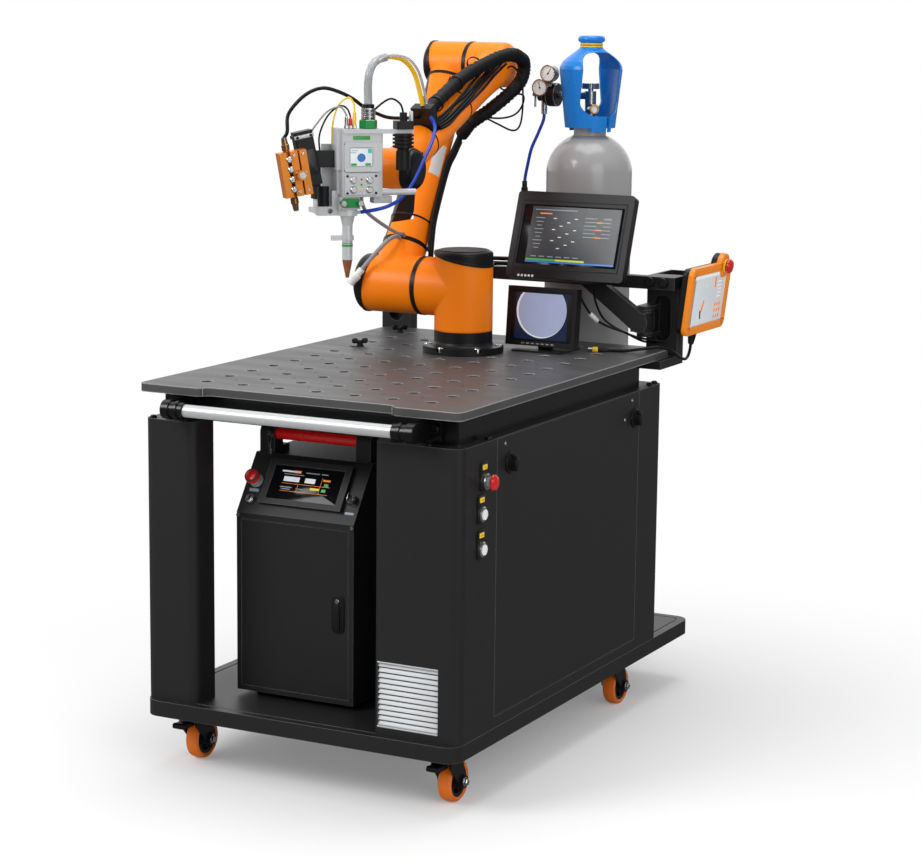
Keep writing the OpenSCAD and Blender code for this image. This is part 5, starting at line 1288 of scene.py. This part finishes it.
class STATION_OT_arm(StationOperator):
    """Adds bolts, the grip disc, bands, the bare plate and loose strands to the arm"""

    bl_idname = "station.arm"
    bl_label = "Arm"

    def execute(self, context):
        self.base()
        self.bands()
        self.strands()
        return {"FINISHED"}

    def base(self):
        """Bolts of the base flange, and the ribbed grip disc on the shoulder's cap."""
        axis = JOINTS["base_turn"] / MM
        place = Matrix.Translation((axis.x * MM, axis.y * MM, 0)) @ WORLD
        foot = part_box("base_flange")[0][2] / MM
        bolts = Piece("base_bolts", "cart", place)
        for n in range(6):
            angle = math.radians(20 + 60 * n)
            at = (92 * math.cos(angle), 92 * math.sin(angle), foot + 8)
            bolts.put(screw(18, 12, at, UP), "zinc_plate")
        bolts.build(slot="bright_steel")
        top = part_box("shoulder_trim")[1][2] / MM
        disc_r = 60
        disc = bmesh.new()
        bmesh.ops.create_grid(disc, x_segments=15, y_segments=15, size=disc_r + 2)
        bmesh.ops.poke(disc, faces=disc.faces[:], offset=2.4)
        for side in range(12):
            turn = Matrix.Rotation(math.radians(30 * side), 3, "Z")
            cut_off(disc, turn @ Vector((disc_r, 0, 0)), turn @ Vector(RIGHT))
        grip = Piece("grip_disc", "shoulder_body", place)
        grip.put(disc, "ribbed_rubber", Matrix.Translation((0, 0, top + 0.4)))
        grip.put(ring(disc_r, disc_r + 4, -0.5, 2.2, (0, 0, top), steps=48), "black_abs")
        grip.build(slot="black_plastic", sharp=20)

    def bands(self):
        """Bands round the tubes and the sleeve, and the bare plate on the upper arm."""
        upper = Piece("upper_arm_bands", "upper_arm_body", UPPER)
        for radius, low, high in ((57.2, 104, 115), (53.2, 175, 180), (54.4, 585, 593)):
            upper.put(ring(radius - 1.5, radius + 1.6, low, high, steps=64), "black_rubber")
        upper.put(shell(53.4, 303, 390, -48, -9), "bare_plate")
        upper.build(slot="black_rubber")
        fore = Piece("forearm_bands", "forearm_body", FORE)
        for z in (140, 252, 372):
            fore.put(ring(19.2, 21.4, -3, 3, (14, 67, z), steps=32), "black_rubber")
        for z in (250, 448):
            fore.put(ring(44, 46.4, z, z + 4, steps=64), "black_rubber")
        fore.build(slot="black_rubber")

    def strands(self):
        """Thin cables beside the sleeve, and two loops past the elbow."""
        for n, angle in enumerate((52, 44, 36, 28, 19), 1):
            c, s = math.cos(math.radians(angle)), math.sin(math.radians(angle))
            wave = 3 * math.sin(2.3 * n)
            route = [(46 * c, 46 * s + 8, 424), (50 * c, 50 * s, 380), (50 * c + wave, 50 * s, 310),
                     (49.5 * c, 49.5 * s, 252), (51 * c - wave, 51 * s + 3, 180), (54 * c, 54 * s + 6, 110),
                     (60 * c, 60 * s + 8, 50)]
            fixed_hose(f"forearm_strand_{n}", smooth_route(placed(FORE, route), 8), STRAND_D, "black_rubber",
                       "forearm_body", None, "black_rubber")
        for n, route in enumerate(LOOP_ROUTES, 1):
            line = smooth_route(placed(ELBOW_FRAME, route))
            loop = fixed_hose(f"elbow_loop_{n}", line, THIN_LEAD_D, "black_rubber", "forearm_body", None,
                              "black_rubber")


class STATION_OT_head(StationOperator):
    """Adds the display, keys, plugs, leads, fittings and screws to the welding head"""

    bl_idname = "station.head"
    bl_label = "Welding Head"

    def execute(self, context):
        self.display()
        self.keypad()
        self.plugs()
        self.fittings()
        self.straightener()
        self.feeder()
        return {"FINISHED"}

    def display(self):
        """Display with its keys, the blank badge and the cover screws."""
        piece = Piece("head_display", "tool", HEAD)
        piece.tile("grey_plastic", 58, 46, (-3, -2.0, 12), 1.2, 2, 0.3)
        piece.tile("screen_light", 55, 43, (-3, -2.9, 12), 0.6, 1, 0.1)
        piece.spin("blue_key", [(0, 0.7), (10, 0.7), (10.6, 0)], (-3, -3.2, 11), FRONT)
        piece.spin("screen_white", [(10.8, 0.6), (11.8, 0.6)], (-3, -3.2, 11), FRONT)
        for x in (-21.7, 13.7):
            piece.tile("green_plastic", 14, 6, (x, -3.3, -5.2), 0.8, 1.5, 0.2)
        piece.tile("screen_teal", 9.6, 10, (18, -3.3, 27), 0.6, 1)
        for x, z in ((-20, 28), (-24, 23)):
            piece.tile("screen_grey", 16, 1.6, (x, -3.3, z), 0.5, 0.4)
        for x in (-42.5, 42.5):
            for z in (-19, 43):
                piece.put(screw(6, 2.2, (x, -1.2, z), FRONT), "black_abs")
        piece.tile("green_plastic", 42, 9, (-1, 3.6, 58), 1.6, 1.5, 0.4)
        for x in (-28, 27):
            piece.put(screw(7, 2.4, (x, 4.2, 73), FRONT), "black_abs")
        piece.build(slot="silver_paint")

    def keypad(self):
        """Four round buttons, three lamps and four screws."""
        face = -1.5
        button = [(0, 6), (5, 5.2), (8, 2.6), (8.6, 0.8), (10.4, 0.8), (10.8, 0), (0, 0)]
        piece = Piece("head_keypad", "tool", HEAD)
        for z in (-43, -66):
            for x in (-22, 18):
                piece.spin("zinc_plate", button, (x, face, z), FRONT)
        for z, finish in ((-41, "red_enamel"), (-54, "green_plastic"), (-68, "yellow_plastic")):
            piece.spin(finish, [(0, 3), (1.8, 2.6), (2.5, 1), (2.6, 0), (0, 0)], (-2, face, z), FRONT, 20)
        for x in (-37, 34):
            for z in (-33, -74):
                piece.put(screw(6, 2.4, (x, face, z), FRONT), "black_abs")
        piece.build(slot="black_plastic")

    def plugs(self):
        """Three plugs on the head's top with their leads, and the camera's lead."""
        y, base = 36, 78
        piece = Piece("head_plugs", "tool", HEAD)
        for name, x, tall, finish, jacket, route in (
            ("silver", -30, 34, "zinc_plate", "grey_jacket",
             [(-45, 36, 130), (-75, 40, 120), (-105, 45, 85), (-118, 50, 62)]),
            ("red", -20, 30, "red_enamel", "black_rubber",
             [(-28, 37, 126), (-46, 40, 132), (-74, 46, 108), (-92, 56, 60), (-88, 58, 10)]),
            ("yellow", -10, 45, "yellow_plastic", "yellow_jacket",
             [(-12, 38, 140), (-24, 44, 152), (-46, 54, 132), (-58, 60, 86), (-56, 60, 40)]),
        ):
            piece.put(ring(0, 6, 0, 8, (x, y, base), steps=6), "zinc_plate")
            piece.spin(finish, [(0, tall), (2.2, tall), (2.6, tall - 5), (4.4, tall - 7), (4.6, 12), (5, 8),
                                (0, 8)], (x, y, base), steps=24)
            line = smooth_route(placed(HEAD, [(x, y, base + tall - 1), *route]), 8)
            lead = fixed_hose(f"head_lead_{name}", line, HEAD_LEAD_D, jacket, "tool", None, "black_rubber")
        piece.build(slot="silver_paint")
        line = smooth_route(placed(HEAD, CAMERA_LEAD), 8)
        lead = fixed_hose("camera_lead", line, THIN_LEAD_D, "black_rubber", "tool", None, "black_rubber")

    def fittings(self):
        """Knobs of the lens drawer, rings of the nozzle, the camera's bracket and the fibre's nuts."""
        nozzle, fibre = (-27, 35, 0), (24, 35, 0)
        piece = Piece("head_fittings", "tool", HEAD)
        for x in (-48, -6):
            piece.spin("zinc_plate", [(0, 12), (6.4, 12), (7, 11), (7, 3), (4, 2), (4, 0), (0, 0)],
                       (x, -2, -98), FRONT, 24)
        piece.put(ring(12, 13.5, -205, -199.5, nozzle), "green_plastic")
        piece.put(ring(12, 13.2, -197, -195.5, nozzle), "zinc_plate")
        piece.put(block((121.5, 0, 78), (126.5, 20, 121), 0.8), "drawn_aluminium")
        piece.put(ring(14, 22.4, 78, 99, fibre, steps=6), "green_anodised")
        for n in range(6):
            outer, low, high = 17.7 if n % 2 else 17.2, 100 + 4.4 * n, 104.4 + 4.4 * n
            piece.put(ring(12, outer, low, high, fibre), "turned_steel")
        piece.put(ring(9, 14.6, 127, 137, fibre), "black_abs")
        piece.build(slot="bright_steel")

    def straightener(self):
        """Rollers, screws, knob and hose fittings of the wire straightener."""
        wire_x = -10.5
        piece = Piece("straightener_hardware", "tool", HEAD @ STRAIGHTENER)
        for z in (-36, -12, 12, 36):
            piece.spin("zinc_plate", [(0, 4), (2.6, 4), (2.6, 2), (5.4, 2), (7.4, 0), (7.4, -3), (0, -3)],
                       (wire_x, -20, z), FRONT, 28)
        for x in (3, 25):
            for z in (-44, 0, 44):
                piece.put(screw(7, 2.4, (x, -19, z), FRONT), "zinc_plate")
        piece.spin("zinc_plate", [(0, 13), (8, 13), (9.4, 11), (9.4, 2), (8, 0), (0, 0)], (10, -34, -4),
                   FRONT, 24)
        for way in ((0, 0, 1), (0, 0, -1)):
            piece.spin("turned_brass", [(0, 53), (8, 53), (8, 57), (9.6, 58), (9.6, 71), (8, 72), (7.4, 78),
                                        (6.8, 86.5), (0, 86.5)], (wire_x, 0, 0), way, 24)
            piece.put(ring(0, 6.4, 86, 89, (wire_x, 0, 0), way, 24), "blue_key")
        piece.build(slot="bright_steel")

    def feeder(self):
        """Silver flange, screws and dark foil of the feeder motor."""
        piece = Piece("feeder_hardware", "tool", HEAD @ tilted((-124, 34, 8), -12, "Y"))
        piece.put(block((-23.6, -0.8, 49), (23.6, 38.8, 58), 1.5), "drawn_aluminium")
        for x in (-17, 17):
            piece.put(screw(7, 2.6, (x, -0.8, 53.5), FRONT), "black_abs")
        piece.tile("keypad_black", 34, 60, (0, -0.4, -10), 0.8, 2, 0.2)
        piece.build(slot="black_plastic")


class STATION_OT_finishes(StationOperator):
    """Gives every frame node its finish"""

    bl_idname = "station.finishes"
    bl_label = "Finishes"

    def execute(self, context):
        for finish, names in NODE_FINISH.items():
            for name in names.split():
                data = frame["nodes"][name].data
                data.materials.clear()
                data.materials.append(MATERIALS[finish])
        return {"FINISHED"}


OPERATORS = [
    STATION_OT_camera, STATION_OT_hoses, STATION_OT_casters, STATION_OT_table, STATION_OT_cart,
    STATION_OT_laser_unit, STATION_OT_gas, STATION_OT_screens, STATION_OT_arm, STATION_OT_head,
    STATION_OT_finishes, STATION_OT_stage,
]


class STATION_PT_panel(bpy.types.Panel):
    """Lists the station's pieces"""

    bl_label = "Robot Welding Station"
    bl_idname = "STATION_PT_panel"
    bl_space_type = "VIEW_3D"
    bl_region_type = "UI"
    bl_category = "Station"

    def draw(self, context):
        for operator in OPERATORS:
            self.layout.operator(operator.bl_idname)


CLASSES = [StationColours, StationSizes, *OPERATORS, STATION_PT_panel]


def register():
    """Registers the classes and the settings."""
    for cls in CLASSES:
        bpy.utils.register_class(cls)
    bpy.types.Scene.station_colours = bpy.props.PointerProperty(type=StationColours)
    bpy.types.Scene.station_sizes = bpy.props.PointerProperty(type=StationSizes)


def unregister():
    """Takes the classes and the settings away."""
    del bpy.types.Scene.station_sizes
    del bpy.types.Scene.station_colours
    for cls in reversed(CLASSES):
        bpy.utils.unregister_class(cls)


def main():
    """Builds the station."""
    register()
    make_materials()
    for operator in OPERATORS:
        group, name = operator.bl_idname.split(".")
        getattr(getattr(bpy.ops, group), name)()


if __name__ == "__main__":
    main()
